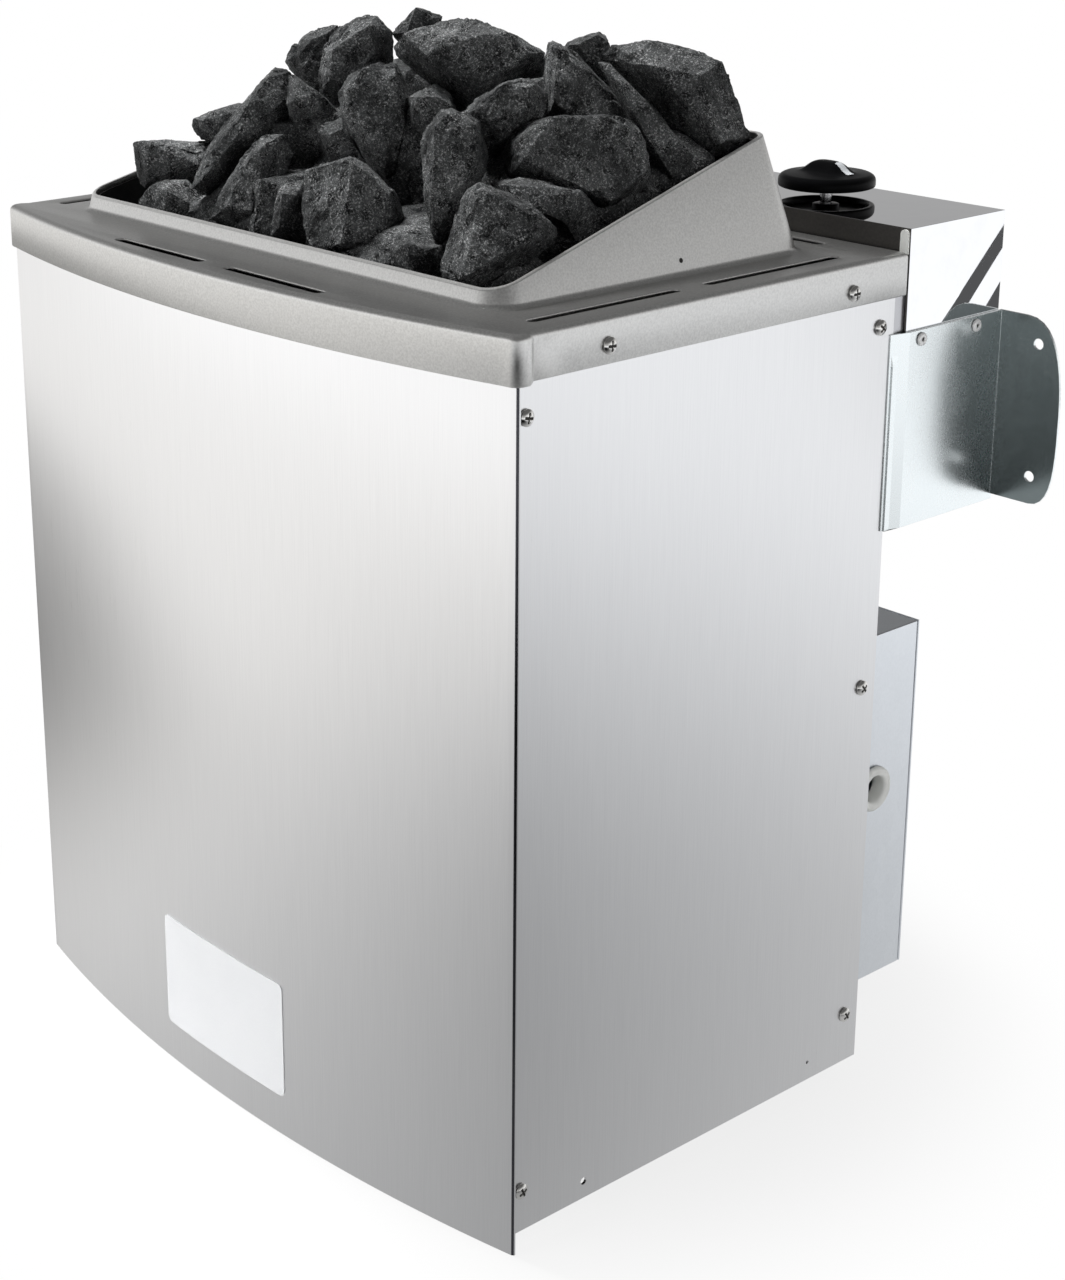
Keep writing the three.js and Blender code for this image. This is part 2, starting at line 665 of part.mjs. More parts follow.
// A hairpin: in from the back, up, over and back out
function elementPath(x) {
  const left = x - elementSpread / 2;
  const right = x + elementSpread / 2;
  const half = elementSpread / 2;
  const start = behindBody + elementEnd;
  const y = elementMiddle;
  const z = elementHeight;
  const top = elementTop - half;
  const path = new THREE.CurvePath();
  const line = (a, b) => path.add(new THREE.LineCurve3(vector(...a), vector(...b)));
  const bend = (a, b, c) => path.add(new THREE.QuadraticBezierCurve3(vector(...a), vector(...b), vector(...c)));
  line([left, start, z], [left, y + elementBend, z]);
  bend([left, y + elementBend, z], [left, y, z], [left, y, z + elementBend]);
  line([left, y, z + elementBend], [left, y, top]);
  bend([left, y, top], [left, y, elementTop], [x, y, elementTop]);
  bend([x, y, elementTop], [right, y, elementTop], [right, y, top]);
  line([right, y, top], [right, y, z + elementBend]);
  bend([right, y, z + elementBend], [right, y, z], [right, y + elementBend, z]);
  line([right, y + elementBend, z], [right, start, z]);
  return path;
}

function heatingElement(i) {
  const x = (i - (elementCount - 1) / 2) * elementPitch;
  const section = new THREE.Shape();
  section.absarc(0, 0, elementRadius, 0, 2 * Math.PI, false);
  const options = { steps: 30, curveSegments: 3, extrudePath: elementPath(x) };
  return geometryOf(solid(new THREE.ExtrudeGeometry(section, options)));
}

function controlTray() {
  const lowTop = panelTop;
  const wide = trayOuter + cutMargin;
  const outer = joined(
    box(-trayOuter, trayOuter, behindBody, trayRear, controlBottom, lowTop),
    box(-trayOuter, trayOuter, coverFront, trayRear, controlBottom, trayTop),
  );
  const inside = [
    box(-trayInner, trayInner, behindBody + sheet, trayRear - sheet, controlBottom + sheet, controlTop),
    box(-trayInner, trayInner, behindBody + sheet, coverFront + cutMargin, lowTop - sheet, controlTop),
    box(-wide, wide, coverFront - cutMargin, coverLipRear + fitGap, lowTop, controlTop),
    ...rivetHoles(),
  ];
  return geometryOf(cut(outer, inside));
}

function rivetHoles() {
  return rivetPlaces.map((y) => screwHole(y, rivetHeight, rivetShank.radius + fitGap));
}

function controlCover() {
  const outer = solid(box(-coverOuter, coverOuter, coverFront, coverRear, coverSideBottom, controlTop));
  const inside = [
    box(-coverInner, coverInner, coverLipRear, coverRear - sheet, 0, controlTop - sheet),
    box(-coverInner, coverInner, 0, coverLipRear, 0, controlTop - coverLip),
    ...[-1, 1].map((side) => shaftHole(side, controlTop - coverLip, controlTop + cutMargin)),
    ...rivetHoles(),
  ];
  return geometryOf(cut(outer, inside));
}

function shaftHole(side, z0, z1) {
  return bar('z', shaftRadius + fitGap, z0, z1, [side * knobX, knobY], 20);
}

// Thermostat or timer, hung under the cover's top
function controlUnit(side) {
  const { width, depth, height } = controlBody;
  const top = controlTop - sheet - fitGap;
  const x = side * knobX;
  const body = box(x - width / 2, x + width / 2, knobY - depth / 2, knobY + depth / 2, top - height, top);
  const bore = shaftHole(side, top - shaftDepth, controlTop);
  return geometryOf(cut(solid(body), [bore]));
}

function knobShaft(side) {
  const bottom = controlTop - sheet - shaftDepth;
  const top = controlTop + knobLift + knobBoreDepth - fitGap;
  return bar('z', shaftRadius, bottom, top, [side * knobX, knobY], 20);
}

function knob(side) {
  const sides = 24;
  const skirtTop = knobSkirt - knobDome;
  const disc = turned([
    [0, 0], [knobRadius - knobEdge / 2, 0], [knobRadius, knobEdge], [knobRadius, skirtTop - knobEdge],
    [knobRadius - knobEdge, skirtTop], [knobRadius / 2, knobSkirt], [0, knobSkirt],
  ], sides);
  const recess = turned([
    [knobHub, -cutMargin], [knobRadius - knobRim, -cutMargin], [knobRadius - knobRim, knobRecess],
    [knobHub, knobRecess], [knobHub, -cutMargin],
  ], sides);
  const hump = new THREE.Shape();
  const half = knobWing.length / 2;
  const humpTop = knobSkirt + knobWing.height;
  hump.moveTo(-half, skirtTop / 2);
  hump.bezierCurveTo(-half / 2, skirtTop, -half / 2, humpTop, 0, humpTop);
  hump.bezierCurveTo(half / 2, humpTop, half / 2, skirtTop, half, skirtTop / 2);
  const wing = extruded(hump, -knobWing.width / 2, knobWing.width / 2, alongX, 6).rotateZ(Math.PI / 2);
  const body = cut(joined(disc, wing), [recess, bar('z', shaftRadius + fitGap, -1, knobBoreDepth, [0, 0], 20)]);
  return geometryOf(body).translate(side * knobX, knobY, controlTop + knobLift);
}

function junctionBox() {
  const rear = boxBack - sheet - fitGap;
  const outer = solid(box(-boxHalf, boxHalf, behindBody, rear, boxBottom, boxTop));
  const inside = box(
    sheet - boxHalf, boxHalf - sheet, behindBody + sheet, boxBack, boxBottom + sheet, boxTop - sheet,
  );
  const [start, end] = [boxHalf - cutMargin, boxHalf + cutMargin];
  const cable = bar('x', grommet.body + fitGap, start, end, [grommetY, grommetZ], 20);
  return geometryOf(cut(outer, [inside, cable, ...elementHoles(bodyDepth, behindBody + cutMargin)]));
}

function junctionCover() {
  return box(-boxHalf, boxHalf, boxBack - sheet, boxBack, boxBottom, boxTop);
}

function cableGrommet() {
  const { bore, body, collar, reach, round, nut } = grommet;
  const inner = -sheet - fitGap;
  const profile = [
    [bore, inner - nut], [collar, inner - nut], [collar, inner], [body, inner], [body, fitGap], [collar, fitGap],
    [collar, reach - round], [collar - round, reach], [bore, reach], [bore, inner - nut],
  ];
  return turned(profile, 16).rotateY(Math.PI / 2).translate(boxHalf, grommetY, grommetZ);
}

function terminalBlock() {
  const { x, z, width, height, depth, entries, entryRadius } = terminal;
  const front = behindBody + sheet + fitGap;
  const body = box(x - width / 2, x + width / 2, front, front + depth, z - height / 2, z + height / 2);
  const holes = [];
  for (let i = 0; i < entries; i += 1) {
    const place = [x + ((i + 0.5) / entries - 0.5) * width, front + depth / 2];
    holes.push(bar('z', entryRadius, z - height, z + height, place, 8));
  }
  return geometryOf(cut(solid(body), holes));
}

// Wall flange outline in X and Z, with its free side curved
function wallFlangeOutline() {
  const end = webInner + wallFlange;
  const bottom = webBottom + wallFlangeRise;
  const neck = webInner + wallFlangeNeck;
  const height = webTop - bottom;
  const outline = new THREE.Shape();
  outline.moveTo(bottom, webInner);
  outline.lineTo(bottom, neck + wallFlangeNeck / 2);
  outline.bezierCurveTo(bottom, end, bottom + height / 4, end, bottom + height / 2, end);
  outline.bezierCurveTo(webTop - height / 4, end, webTop, end - wallFlangeNeck / 4, webTop, neck);
  outline.lineTo(webTop, webInner);
  return outline;
}

function bracket() {
  const flange = extruded(wallFlangeOutline(), wallPlane - sheet, wallPlane, alongY, 10);
  const web = box(webInner, webOuter, behindBody, wallPlane, webBottom, webTop);
  const footTop = controlBottom - fitGap;
  const foot = box(webOuter - webFoot, webOuter, behindBody, behindBody + sheet, webBottom, footTop);
  const wallHoles = wallHoleHeights.map((z) => (
    bar('y', wallHoleRadius, wallPlane - cutMargin, wallPlane + cutMargin, [webInner + wallHoleReach, z], 14)
  ));
  return geometryOf(cut(joined(flange, web, foot), [...wallHoles, ...rivetHoles()]));
}

// Blind rivet lying along X, its head outside the bracket
function rivet(y) {
  const { radius, height } = rivetHead;
  const profile = [
    [0, -rivetShank.length], [rivetShank.radius, -rivetShank.length], [rivetShank.radius, 0], [radius, 0],
    [radius, height / 3], [radius * 0.7, height], [rivetCore.radius, height],
    [rivetCore.radius, height - rivetCore.depth], [0, height - rivetCore.depth],
  ];
  return turned(profile, 10).rotateY(Math.PI / 2).translate(webOuter + fitGap, y, rivetHeight);
}

// Pan-head cross-recess screw lying along X, its head against a face
function screw(face, y, z) {
  const { radius, height } = screwHead;
  const shank = screwShank;
  const head = turned([
    [0, -shank.length], [shank.radius, -shank.length], [shank.radius, 0], [radius, 0],
    [radius, height * 0.4], [radius * 0.75, height * 0.85], [0, height],
  ], screwSides);
  const half = crossRecess.length / 2;
  const wide = crossRecess.width / 2;
  const floor = height - crossRecess.depth;
  const recess = [
    box(-half, half, -wide, wide, floor, height + 1),
    box(-wide, wide, -half, half, floor, height + 1),
  ];
  const turn = ((y + z) * Math.PI) / 90;
  const body = geometryOf(cut(solid(head), recess));
  return body.rotateZ(turn).rotateY(Math.PI / 2).translate(face + fitGap, y, z);
}

function frontLabel() {
  const inner = bowRadius + labelGap;
  const top = label.bottom + label.height;
  return bowedSheet(label.width / 2, inner, inner + label.thickness, label.bottom, top, 4);
}

function seededRandom(seed) {
  let state = seed >>> 0;
  return () => {
    state = (state * 1664525 + 1013904223) >>> 0;
    return state / 4294967296;
  };
}

// The pile's own axes: along its diagonal, upward, and out of the pile
const pileAcross = vector(0.64, 0.77, 0).normalize();
const pileOut = vector(0.74, -0.61, 0.29).normalize();
const pileUp = vector().crossVectors(pileOut, pileAcross).normalize();

const acrossScale = guardWidth / pileGuard.across;
const backScale = (guardRear - guardFront) / pileGuard.back;
const stoneScale = Math.sqrt(acrossScale * backScale);

// The ring of corners of a rock that is given by its half-lengths alone
function roundOutline([across, up], random) {
  const ring = [];
  for (let k = 0; k < rockShape.corners; k += 1) {
    const angle = ((k + random() / 2) / rockShape.corners) * 2 * Math.PI;
    const reach = 1 - rockShape.wear * random();
    ring.push([across * reach * Math.cos(angle), up * reach * Math.sin(angle)]);
  }
  return ring;
}

// A broken rock as its corners: the outline, a face out of the pile and a smaller one behind
function rock({ at, outline, front, half, size }, seed) {
  const random = seededRandom(seed);
  const between = (low, high) => low + (high - low) * random();
  const centre = vector(at[0] * acrossScale, guardFront + at[1] * backScale, collarTop + at[2] * stoneScale);
  const ring = outline ?? roundOutline(size, random);
  const depth = half ?? size[2];
  const face = () => ring.filter((_, k) => k % 2 === 0).map(([u, v]) => {
    const share = between(rockShape.faceLeast, rockShape.faceMost);
    return [u * share, v * share];
  });
  const corners = [];
  const add = (u, v, w) => {
    const reach = vector().addScaledVector(pileAcross, u).addScaledVector(pileUp, v).addScaledVector(pileOut, w);
    corners.push(centre.clone().addScaledVector(reach, stoneScale));
  };
  ring.forEach(([u, v]) => add(u, v, depth * between(-rockShape.wander, rockShape.wander)));
  (front ?? face()).forEach(([u, v]) => add(u, v, depth * between(rockShape.faceDepth, 1)));
  face().forEach(([u, v]) => add(u, v, -depth * between(rockShape.faceDepth, 1)));
  return { centre, corners };
}

function rockBody({ corners }) {
  return solid(new ConvexGeometry(corners));
}

// The same rock with every face moved out by at least a gap
function grownRock({ centre, corners }, gap) {
  const place = new ConvexGeometry(corners).getAttribute('position');
  const [a, b, c] = [vector(), vector(), vector()];
  const plane = new THREE.Plane();
  let inner = Infinity;
  for (let i = 0; i < place.count; i += 3) {
    [a, b, c].forEach((corner, k) => corner.fromBufferAttribute(place, i + k));
    plane.setFromCoplanarPoints(a, b, c);
    inner = Math.min(inner, Math.abs(plane.distanceToPoint(centre)));
  }
  const growth = 1 + gap / inner;
  const grown = corners.map((corner) => corner.clone().sub(centre).multiplyScalar(growth).add(centre));
  return rockBody({ corners: grown });
}

function largestPiece(body) {
  return body.decompose().reduce((best, piece) => (piece.volume() > best.volume() ? piece : best));
}

const shownRocks = stones.map((stone, i) => rock(stone, 31 + 7 * i));
const shownPockets = shownRocks.map((stone) => grownRock(stone, stoneGap));
const stoneInset = linerOutset + sheet + fitGap;
const stoneSpace = solid(guardSpace(stoneInset, floorHeight + fitGap));

// A stone lies against the ones further out of the pile, which keep their shape
function shownStone(i) {
  const out = (stone) => stone.centre.dot(pileOut);
  let body = rockBody(shownRocks[i]).intersect(stoneSpace);
  shownRocks.forEach((stone, k) => {
    if (out(stone) > out(shownRocks[i])) body = body.subtract(shownPockets[k]);
  });
  return geometryOf(largestPiece(body));
}

// Rocks side by side under the pile, joined where they press on each other
function bedRocks() {
  const { pitch, size } = bedRock;
  const columns = Math.max(1, Math.round(pileGuard.across / pitch));
  const rows = Math.max(1, Math.round(pileGuard.back / pitch));
  const z = (floorHeight - collarTop) / 2;
  const rocks = [];
  for (let i = 0; i < columns * rows; i += 1) {
    const x = ((i % columns) - (columns - 1) / 2) * pitch;
    const y = pileGuard.back / 2 + (Math.floor(i / columns) - (rows - 1) / 2) * pitch;
    rocks.push(rock({ at: [x, y, z], size }, 211 + 13 * i));
  }
  return rocks;
}

// The upright slice of the bed that each hairpin stands in
function elementSpace(i) {
  const x = (i - (elementCount - 1) / 2) * elementPitch;
  const across = elementSpread / 2 + elementRadius + stoneGap;
  const thick = elementRadius + stoneGap;
  return box(x - across, x + across, elementMiddle - thick, elementMiddle + thick, 0, elementTop + thick);
}

function stoneBed() {
  const fill = fillStones.map((stone, i) => rock(stone, 503 + 11 * i));
  const core = coreStones.map((stone, i) => rock(stone, 809 + 11 * i));
  const lumps = [...bedRocks(), ...core, ...fill].map(rockBody);
  let bed = lumps.reduce((whole, lump) => whole.add(lump)).intersect(stoneSpace);
  shownPockets.forEach((pocket) => {
    bed = bed.subtract(pocket);
  });
  for (let i = 0; i < elementCount; i += 1) {
    bed = bed.subtract(solid(elementSpace(i)));
  }
  return geometryOf(largestPiece(bed));
}

// Finishes
const finish = (color, metalness, roughness) => new THREE.MeshStandardMaterial({ color, metalness, roughness });
const stainless = finish(0xc4c4c6, 0.9, 0.35);
const painted = finish(0x9b9892, 0.3, 0.55);
const polished = finish(0xe2e3e6, 1, 0.08);
const galvanised = finish(0xb3bdc0, 0.8, 0.4);
const blackSteel = finish(0x1c1c1d, 0.6, 0.6);
const nickel = finish(0xc9c8c4, 1, 0.25);
const black = finish(0x101011, 0, 0.35);
const cream = finish(0xe6e2d2, 0, 0.5);
const paper = finish(0xf4f4f2, 0, 0.6);
const rockGrey = finish(0x3a3c3e, 0, 0.9);
const steatite = finish(0xdad5c8, 0, 0.7);

const heater = new THREE.Group();
heater.position.y = -(frontMost + wallPlane) / 2;

function place(name, geometry, material) {
  const mesh = new THREE.Mesh(geometry, material);
  mesh.name = name;
  heater.add(mesh);
}

function placePair(name, geometry, material) {
  place(`${name}_right`, geometry, material);
  place(`${name}_left`, mirrored(geometry), material);
}

place('front_panel', frontPanel(), stainless);
placePair('side_panel', sidePanel(), stainless);
place('rear_panel', rearPanel(), galvanised);
place('top_collar', topCollar(), painted);
place('stone_compartment', stoneCompartment(), blackSteel);
place('stone_floor', stoneFloor(), blackSteel);
for (let i = 0; i < elementCount; i += 1) {
  place(`heating_element_${i + 1}`, heatingElement(i), blackSteel);
}
place('control_tray', controlTray(), stainless);
place('control_cover', controlCover(), polished);
[['thermostat', 1], ['timer', -1]].forEach(([name, side]) => {
  place(name, controlUnit(side), steatite);
  place(`${name}_shaft`, knobShaft(side), nickel);
  place(`${name}_knob`, knob(side), black);
});
place('junction_box', junctionBox(), galvanised);
place('junction_cover', junctionCover(), galvanised);
place('cable_grommet', cableGrommet(), cream);
place('terminal_block', terminalBlock(), steatite);
placePair('bracket', bracket(), galvanised);
rivetPlaces.forEach((y, i) => placePair(`rivet_${i + 1}`, rivet(y), nickel));
collarScrews.forEach(({ y, z }, i) => placePair(`collar_screw_${i + 1}`, screw(lipOuter, y, z), nickel));
frontScrewHeights.forEach((z, i) => placePair(`front_screw_${i + 1}`, screw(sideOuter, frontScrewY, z), nickel));
rearScrewHeights.forEach((z, i) => placePair(`rear_screw_${i + 1}`, screw(sideOuter, rearScrewY, z), nickel));
place('front_label', frontLabel(), paper);
stones.forEach((_, i) => place(`stone_${i + 1}`, shownStone(i), rockGrey));
place('stone_bed', stoneBed(), rockGrey);

export default heater;
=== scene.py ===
import math

import bmesh
import bpy
from mathutils import Matrix, Vector, noise
from mathutils.geometry import tessellate_polygon


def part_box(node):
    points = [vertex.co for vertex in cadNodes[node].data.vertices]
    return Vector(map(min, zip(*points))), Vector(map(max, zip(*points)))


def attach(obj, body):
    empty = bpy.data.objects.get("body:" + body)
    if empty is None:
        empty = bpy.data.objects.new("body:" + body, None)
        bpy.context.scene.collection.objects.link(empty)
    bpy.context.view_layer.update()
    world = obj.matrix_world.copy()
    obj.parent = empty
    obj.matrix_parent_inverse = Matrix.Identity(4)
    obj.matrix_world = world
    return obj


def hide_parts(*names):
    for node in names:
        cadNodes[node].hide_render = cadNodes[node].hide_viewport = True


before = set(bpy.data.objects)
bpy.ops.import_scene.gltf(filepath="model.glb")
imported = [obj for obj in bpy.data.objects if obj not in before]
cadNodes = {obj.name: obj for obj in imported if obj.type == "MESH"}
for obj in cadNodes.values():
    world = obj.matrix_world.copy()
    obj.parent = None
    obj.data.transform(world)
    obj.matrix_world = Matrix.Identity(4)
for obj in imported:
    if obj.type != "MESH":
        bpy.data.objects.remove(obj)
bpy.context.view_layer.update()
scene = bpy.context.scene
print("frame:", len(cadNodes), "nodes")

# drawing: millimetres, y counted from the front panel's two upright edges
drawing = {"depthShift": 157.0, "unit": 0.001}


def place(x, y, z):
    return Vector((x, y - drawing["depthShift"], z)) * drawing["unit"]


# camera, worked out from the panel corners and the collar in the photograph
cameraSetup = {
    "location": (0.9166, -0.8135, 0.6874),
    "azimuth": 50.20, "elevation": 17.134, "roll": -0.484,
    "focalPixels": 2353.3, "centrePixel": (404.2, 480.1), "image": (1065, 1280), "sensor": 36,
}


def makeCamera():
    azimuth, elevation, roll = (math.radians(cameraSetup[k]) for k in ("azimuth", "elevation", "roll"))
    back = Vector((math.sin(azimuth) * math.cos(elevation), -math.cos(azimuth) * math.cos(elevation), math.sin(elevation)))
    level = Vector((math.cos(azimuth), math.sin(azimuth), 0))
    right = level * math.cos(roll) + back.cross(level) * math.sin(roll)
    up = back.cross(right)
    data = bpy.data.cameras.new("photoCamera")
    width, height = cameraSetup["image"]
    long = max(width, height)
    data.sensor_width = cameraSetup["sensor"]
    data.lens = cameraSetup["focalPixels"] / long * cameraSetup["sensor"]
    data.shift_x = (width / 2 - cameraSetup["centrePixel"][0]) / long
    data.shift_y = (cameraSetup["centrePixel"][1] - height / 2) / long
    data.clip_start, data.clip_end = 0.02, 60
    camera = bpy.data.objects.new("photoCamera", data)
    camera.matrix_world = Matrix.Translation(cameraSetup["location"]) @ Matrix((right, up, back)).transposed().to_4x4()
    scene.collection.objects.link(camera)
    scene.camera = camera


makeCamera()
scene.view_settings.view_transform = "Standard"
print("camera set")


# node building
def addNode(tree, kind, settings=None, inputs=None):
    node = tree.nodes.new(kind)
    for key, value in (settings or {}).items():
        setattr(node, key, value)
    for key, value in (inputs or {}).items():
        if isinstance(value, bpy.types.NodeSocket):
            tree.links.new(value, node.inputs[key])
        else:
            node.inputs[key].default_value = value
    return node


def startGroup(name, inputs, outputs):
    tree = bpy.data.node_groups.new(name, "ShaderNodeTree")
    for label, kind, value in inputs:
        tree.interface.new_socket(label, in_out="INPUT", socket_type=kind).default_value = value
    for label, kind in outputs:
        tree.interface.new_socket(label, in_out="OUTPUT", socket_type=kind)
    return tree, tree.nodes.new("NodeGroupInput").outputs, tree.nodes.new("NodeGroupOutput").inputs


def objectPoint(tree, scale):
    point = addNode(tree, "ShaderNodeTexCoord").outputs["Object"]
    return addNode(tree, "ShaderNodeVectorMath", {"operation": "MULTIPLY"}, {0: point, 1: scale}).outputs[0]


def mathOf(tree, operation, a, b=0.0, clamp=False):
    return addNode(tree, "ShaderNodeMath", {"operation": operation, "use_clamp": clamp}, {0: a, 1: b}).outputs[0]


def rangeOf(tree, value, low, high, toLow, toHigh):
    return addNode(tree, "ShaderNodeMapRange", None, {
        "Value": value, "From Min": low, "From Max": high, "To Min": toLow, "To Max": toHigh}).outputs[0]


def blendColour(tree, mask, first, second):
    node = addNode(tree, "ShaderNodeMix", {"data_type": "RGBA"}, {0: mask})
    for index, colour in ((6, first), (7, second)):
        if isinstance(colour, bpy.types.NodeSocket):
            tree.links.new(colour, node.inputs[index])
        else:
            node.inputs[index].default_value = (*colour, 1)
    return node.outputs[2]


def brushedGrainGroup():
    # lines drawn out along one axis: Stretch is how fine the pattern is along each
    tree, give, take = startGroup("brushedGrain", [("Stretch", "NodeSocketVector", (2500, 2500, 8))],
                                  [("Line", "NodeSocketFloat"), ("Streak", "NodeSocketFloat")])
    point = objectPoint(tree, give["Stretch"])
    line = addNode(tree, "ShaderNodeTexNoise", None, {"Vector": point, "Scale": 1.0, "Detail": 4.0, "Roughness": 0.65})
    streak = addNode(tree, "ShaderNodeTexNoise", None, {"Vector": point, "Scale": 0.06, "Detail": 3.0, "Roughness": 0.55})
    tree.links.new(line.outputs[0], take["Line"])
    tree.links.new(streak.outputs[0], take["Streak"])
    return tree


def softCloudGroup():
    tree, give, take = startGroup("softCloud", [("Size", "NodeSocketFloat", 6.0), ("Fine", "NodeSocketFloat", 60.0)],
                                  [("Cloud", "NodeSocketFloat"), ("Smudge", "NodeSocketFloat")])
    point = addNode(tree, "ShaderNodeTexCoord").outputs["Object"]
    cloud = addNode(tree, "ShaderNodeTexNoise", None, {"Vector": point, "Scale": give["Size"], "Detail": 2.0})
    smudge = addNode(tree, "ShaderNodeTexNoise", {"noise_type": "FBM"}, {"Vector": point, "Scale": give["Fine"], "Detail": 5.0, "Roughness": 0.6})
    tree.links.new(cloud.outputs[0], take["Cloud"])
    tree.links.new(smudge.outputs[0], take["Smudge"])
    return tree


def dustFilmGroup():
    # settles on what looks up, broken by noise
    tree, give, take = startGroup("dustFilm", [("Amount", "NodeSocketFloat", 0.3), ("Scale", "NodeSocketFloat", 40.0)],
                                  [("Mask", "NodeSocketFloat")])
    normal = addNode(tree, "ShaderNodeNewGeometry").outputs["Normal"]
    up = addNode(tree, "ShaderNodeSeparateXYZ", None, {0: normal}).outputs["Z"]
    point = addNode(tree, "ShaderNodeTexCoord").outputs["Object"]
    spread = addNode(tree, "ShaderNodeTexNoise", None, {"Vector": point, "Scale": give["Scale"], "Detail": 5.0, "Roughness": 0.65})
    lying = rangeOf(tree, up, 0.2, 1.0, 0.0, 1.0)
    broken = rangeOf(tree, spread.outputs[0], 0.42, 0.68, 0.0, 1.0)
    mask = mathOf(tree, "MULTIPLY", mathOf(tree, "MULTIPLY", lying, broken), give["Amount"], True)
    tree.links.new(mask, take["Mask"])
    return tree


def zincBloomGroup():
    # the crystal patches of hot-dip zinc, drawn out a little by rolling
    tree, give, take = startGroup("zincBloom", [("Stretch", "NodeSocketVector", (90, 90, 55))],
                                  [("Patch", "NodeSocketFloat"), ("Frost", "NodeSocketFloat")])
    point = objectPoint(tree, give["Stretch"])
    wander = addNode(tree, "ShaderNodeTexNoise", None, {"Vector": point, "Scale": 1.6, "Detail": 3.0})
    bent = addNode(tree, "ShaderNodeVectorMath", {"operation": "ADD"}, {0: point, 1: wander.outputs["Color"]}).outputs[0]
    patch = addNode(tree, "ShaderNodeTexVoronoi", {"feature": "F1"}, {"Vector": bent, "Scale": 1.0})
    tone = addNode(tree, "ShaderNodeSeparateColor", None, {0: patch.outputs["Color"]}).outputs[0]
    frost = addNode(tree, "ShaderNodeTexNoise", None, {"Vector": point, "Scale": 9.0, "Detail": 5.0, "Roughness": 0.7})
    tree.links.new(tone, take["Patch"])
    tree.links.new(frost.outputs[0], take["Frost"])
    return tree


def rockFaceGroup():
    # crushed rock: broad tone, pale crystals in ragged patches, painted shade in the low pits of the height, and a
    # height
    tree, give, take = startGroup("rockFace", [("Grit", "NodeSocketFloat", 420.0)],
                                  [("Tone", "NodeSocketFloat"), ("Speck", "NodeSocketFloat"),
                                   ("PitShade", "NodeSocketFloat"), ("Height", "NodeSocketFloat")])
    point = addNode(tree, "ShaderNodeTexCoord").outputs["Object"]
    tone = addNode(tree, "ShaderNodeTexNoise", None, {"Vector": point, "Scale": 34.0, "Detail": 6.0, "Roughness": 0.62})
    grain = addNode(tree, "ShaderNodeTexNoise", None, {
        "Vector": point, "Scale": give["Grit"], "Detail": 6.0, "Roughness": 0.72, "Distortion": 0.7})
    crag = addNode(tree, "ShaderNodeTexNoise", None, {"Vector": point, "Scale": 170.0, "Detail": 8.0, "Roughness": 0.68})
    speck = rangeOf(tree, grain.outputs[0], 0.52, 0.72, 0.0, 1.0)
    pitShade = rangeOf(tree, crag.outputs[0], 0.53, 0.38, 0.0, 1.0)
    height = mathOf(tree, "ADD", crag.outputs[0], mathOf(tree, "MULTIPLY", grain.outputs[0], 0.35))
    tree.links.new(tone.outputs[0], take["Tone"])
    tree.links.new(speck, take["Speck"])
    tree.links.new(pitShade, take["PitShade"])
    tree.links.new(height, take["Height"])
    return tree


groups = {
    "grain": brushedGrainGroup(), "cloud": softCloudGroup(), "dust": dustFilmGroup(),
    "zinc": zincBloomGroup(), "rock": rockFaceGroup(),
}
print("node groups:", len(groups))


def startMaterial(name, metallic=0.0, specular=0.5):
    material = bpy.data.materials.new(name)
    material.use_nodes = True
    tree = material.node_tree
    shader = tree.nodes["Principled BSDF"]
    shader.inputs["Metallic"].default_value = metallic
    shader.inputs["Specular IOR Level"].default_value = specular
    return material, tree, shader


def useGroup(tree, name, inputs=None):
    return addNode(tree, "ShaderNodeGroup", {"node_tree": groups[name]}, inputs).outputs


def bumpTo(tree, shader, height, strength, distance):
    bump = addNode(tree, "ShaderNodeBump", None, {"Height": height, "Strength": strength, "Distance": distance})
    tree.links.new(bump.outputs[0], shader.inputs["Normal"])


# finishes
steelFinish = {
    "panel": {"dark": (0.815, 0.815, 0.822), "light": (0.87, 0.87, 0.875), "rough": (0.27, 0.34), "stretch": (1900, 1900, 26), "bump": 0.045},
    "satin": {"dark": (0.54, 0.54, 0.56), "light": (0.63, 0.63, 0.65), "rough": (0.26, 0.34), "stretch": (26, 1900, 1900), "bump": 0.04},
}


def brushedSteel(name):
    finish = steelFinish[name]
    material, tree, shader = startMaterial(name + "Steel", 1.0)
    grain = useGroup(tree, "grain", {"Stretch": finish["stretch"]})
    cloud = useGroup(tree, "cloud", {"Size": 4.0, "Fine": 45.0})
    mix = mathOf(tree, "ADD", mathOf(tree, "MULTIPLY", grain["Line"], 0.94), mathOf(tree, "MULTIPLY", grain["Streak"], 0.06))
    tree.links.new(blendColour(tree, rangeOf(tree, mix, 0.3, 0.7, 0.0, 1.0), finish["dark"], finish["light"]), shader.inputs["Base Color"])
    worn = mathOf(tree, "ADD", mathOf(tree, "MULTIPLY", grain["Line"], 0.6), mathOf(tree, "MULTIPLY", cloud["Cloud"], 0.4))
    tree.links.new(rangeOf(tree, worn, 0.3, 0.7, *finish["rough"]), shader.inputs["Roughness"])
    bumpTo(tree, shader, grain["Line"], finish["bump"], 0.0002)
    return material


mirrorFinish = {"colour": (0.93, 0.93, 0.945), "film": (0.90, 0.90, 0.92), "rough": (0.0, 0.012), "wave": 0.004}


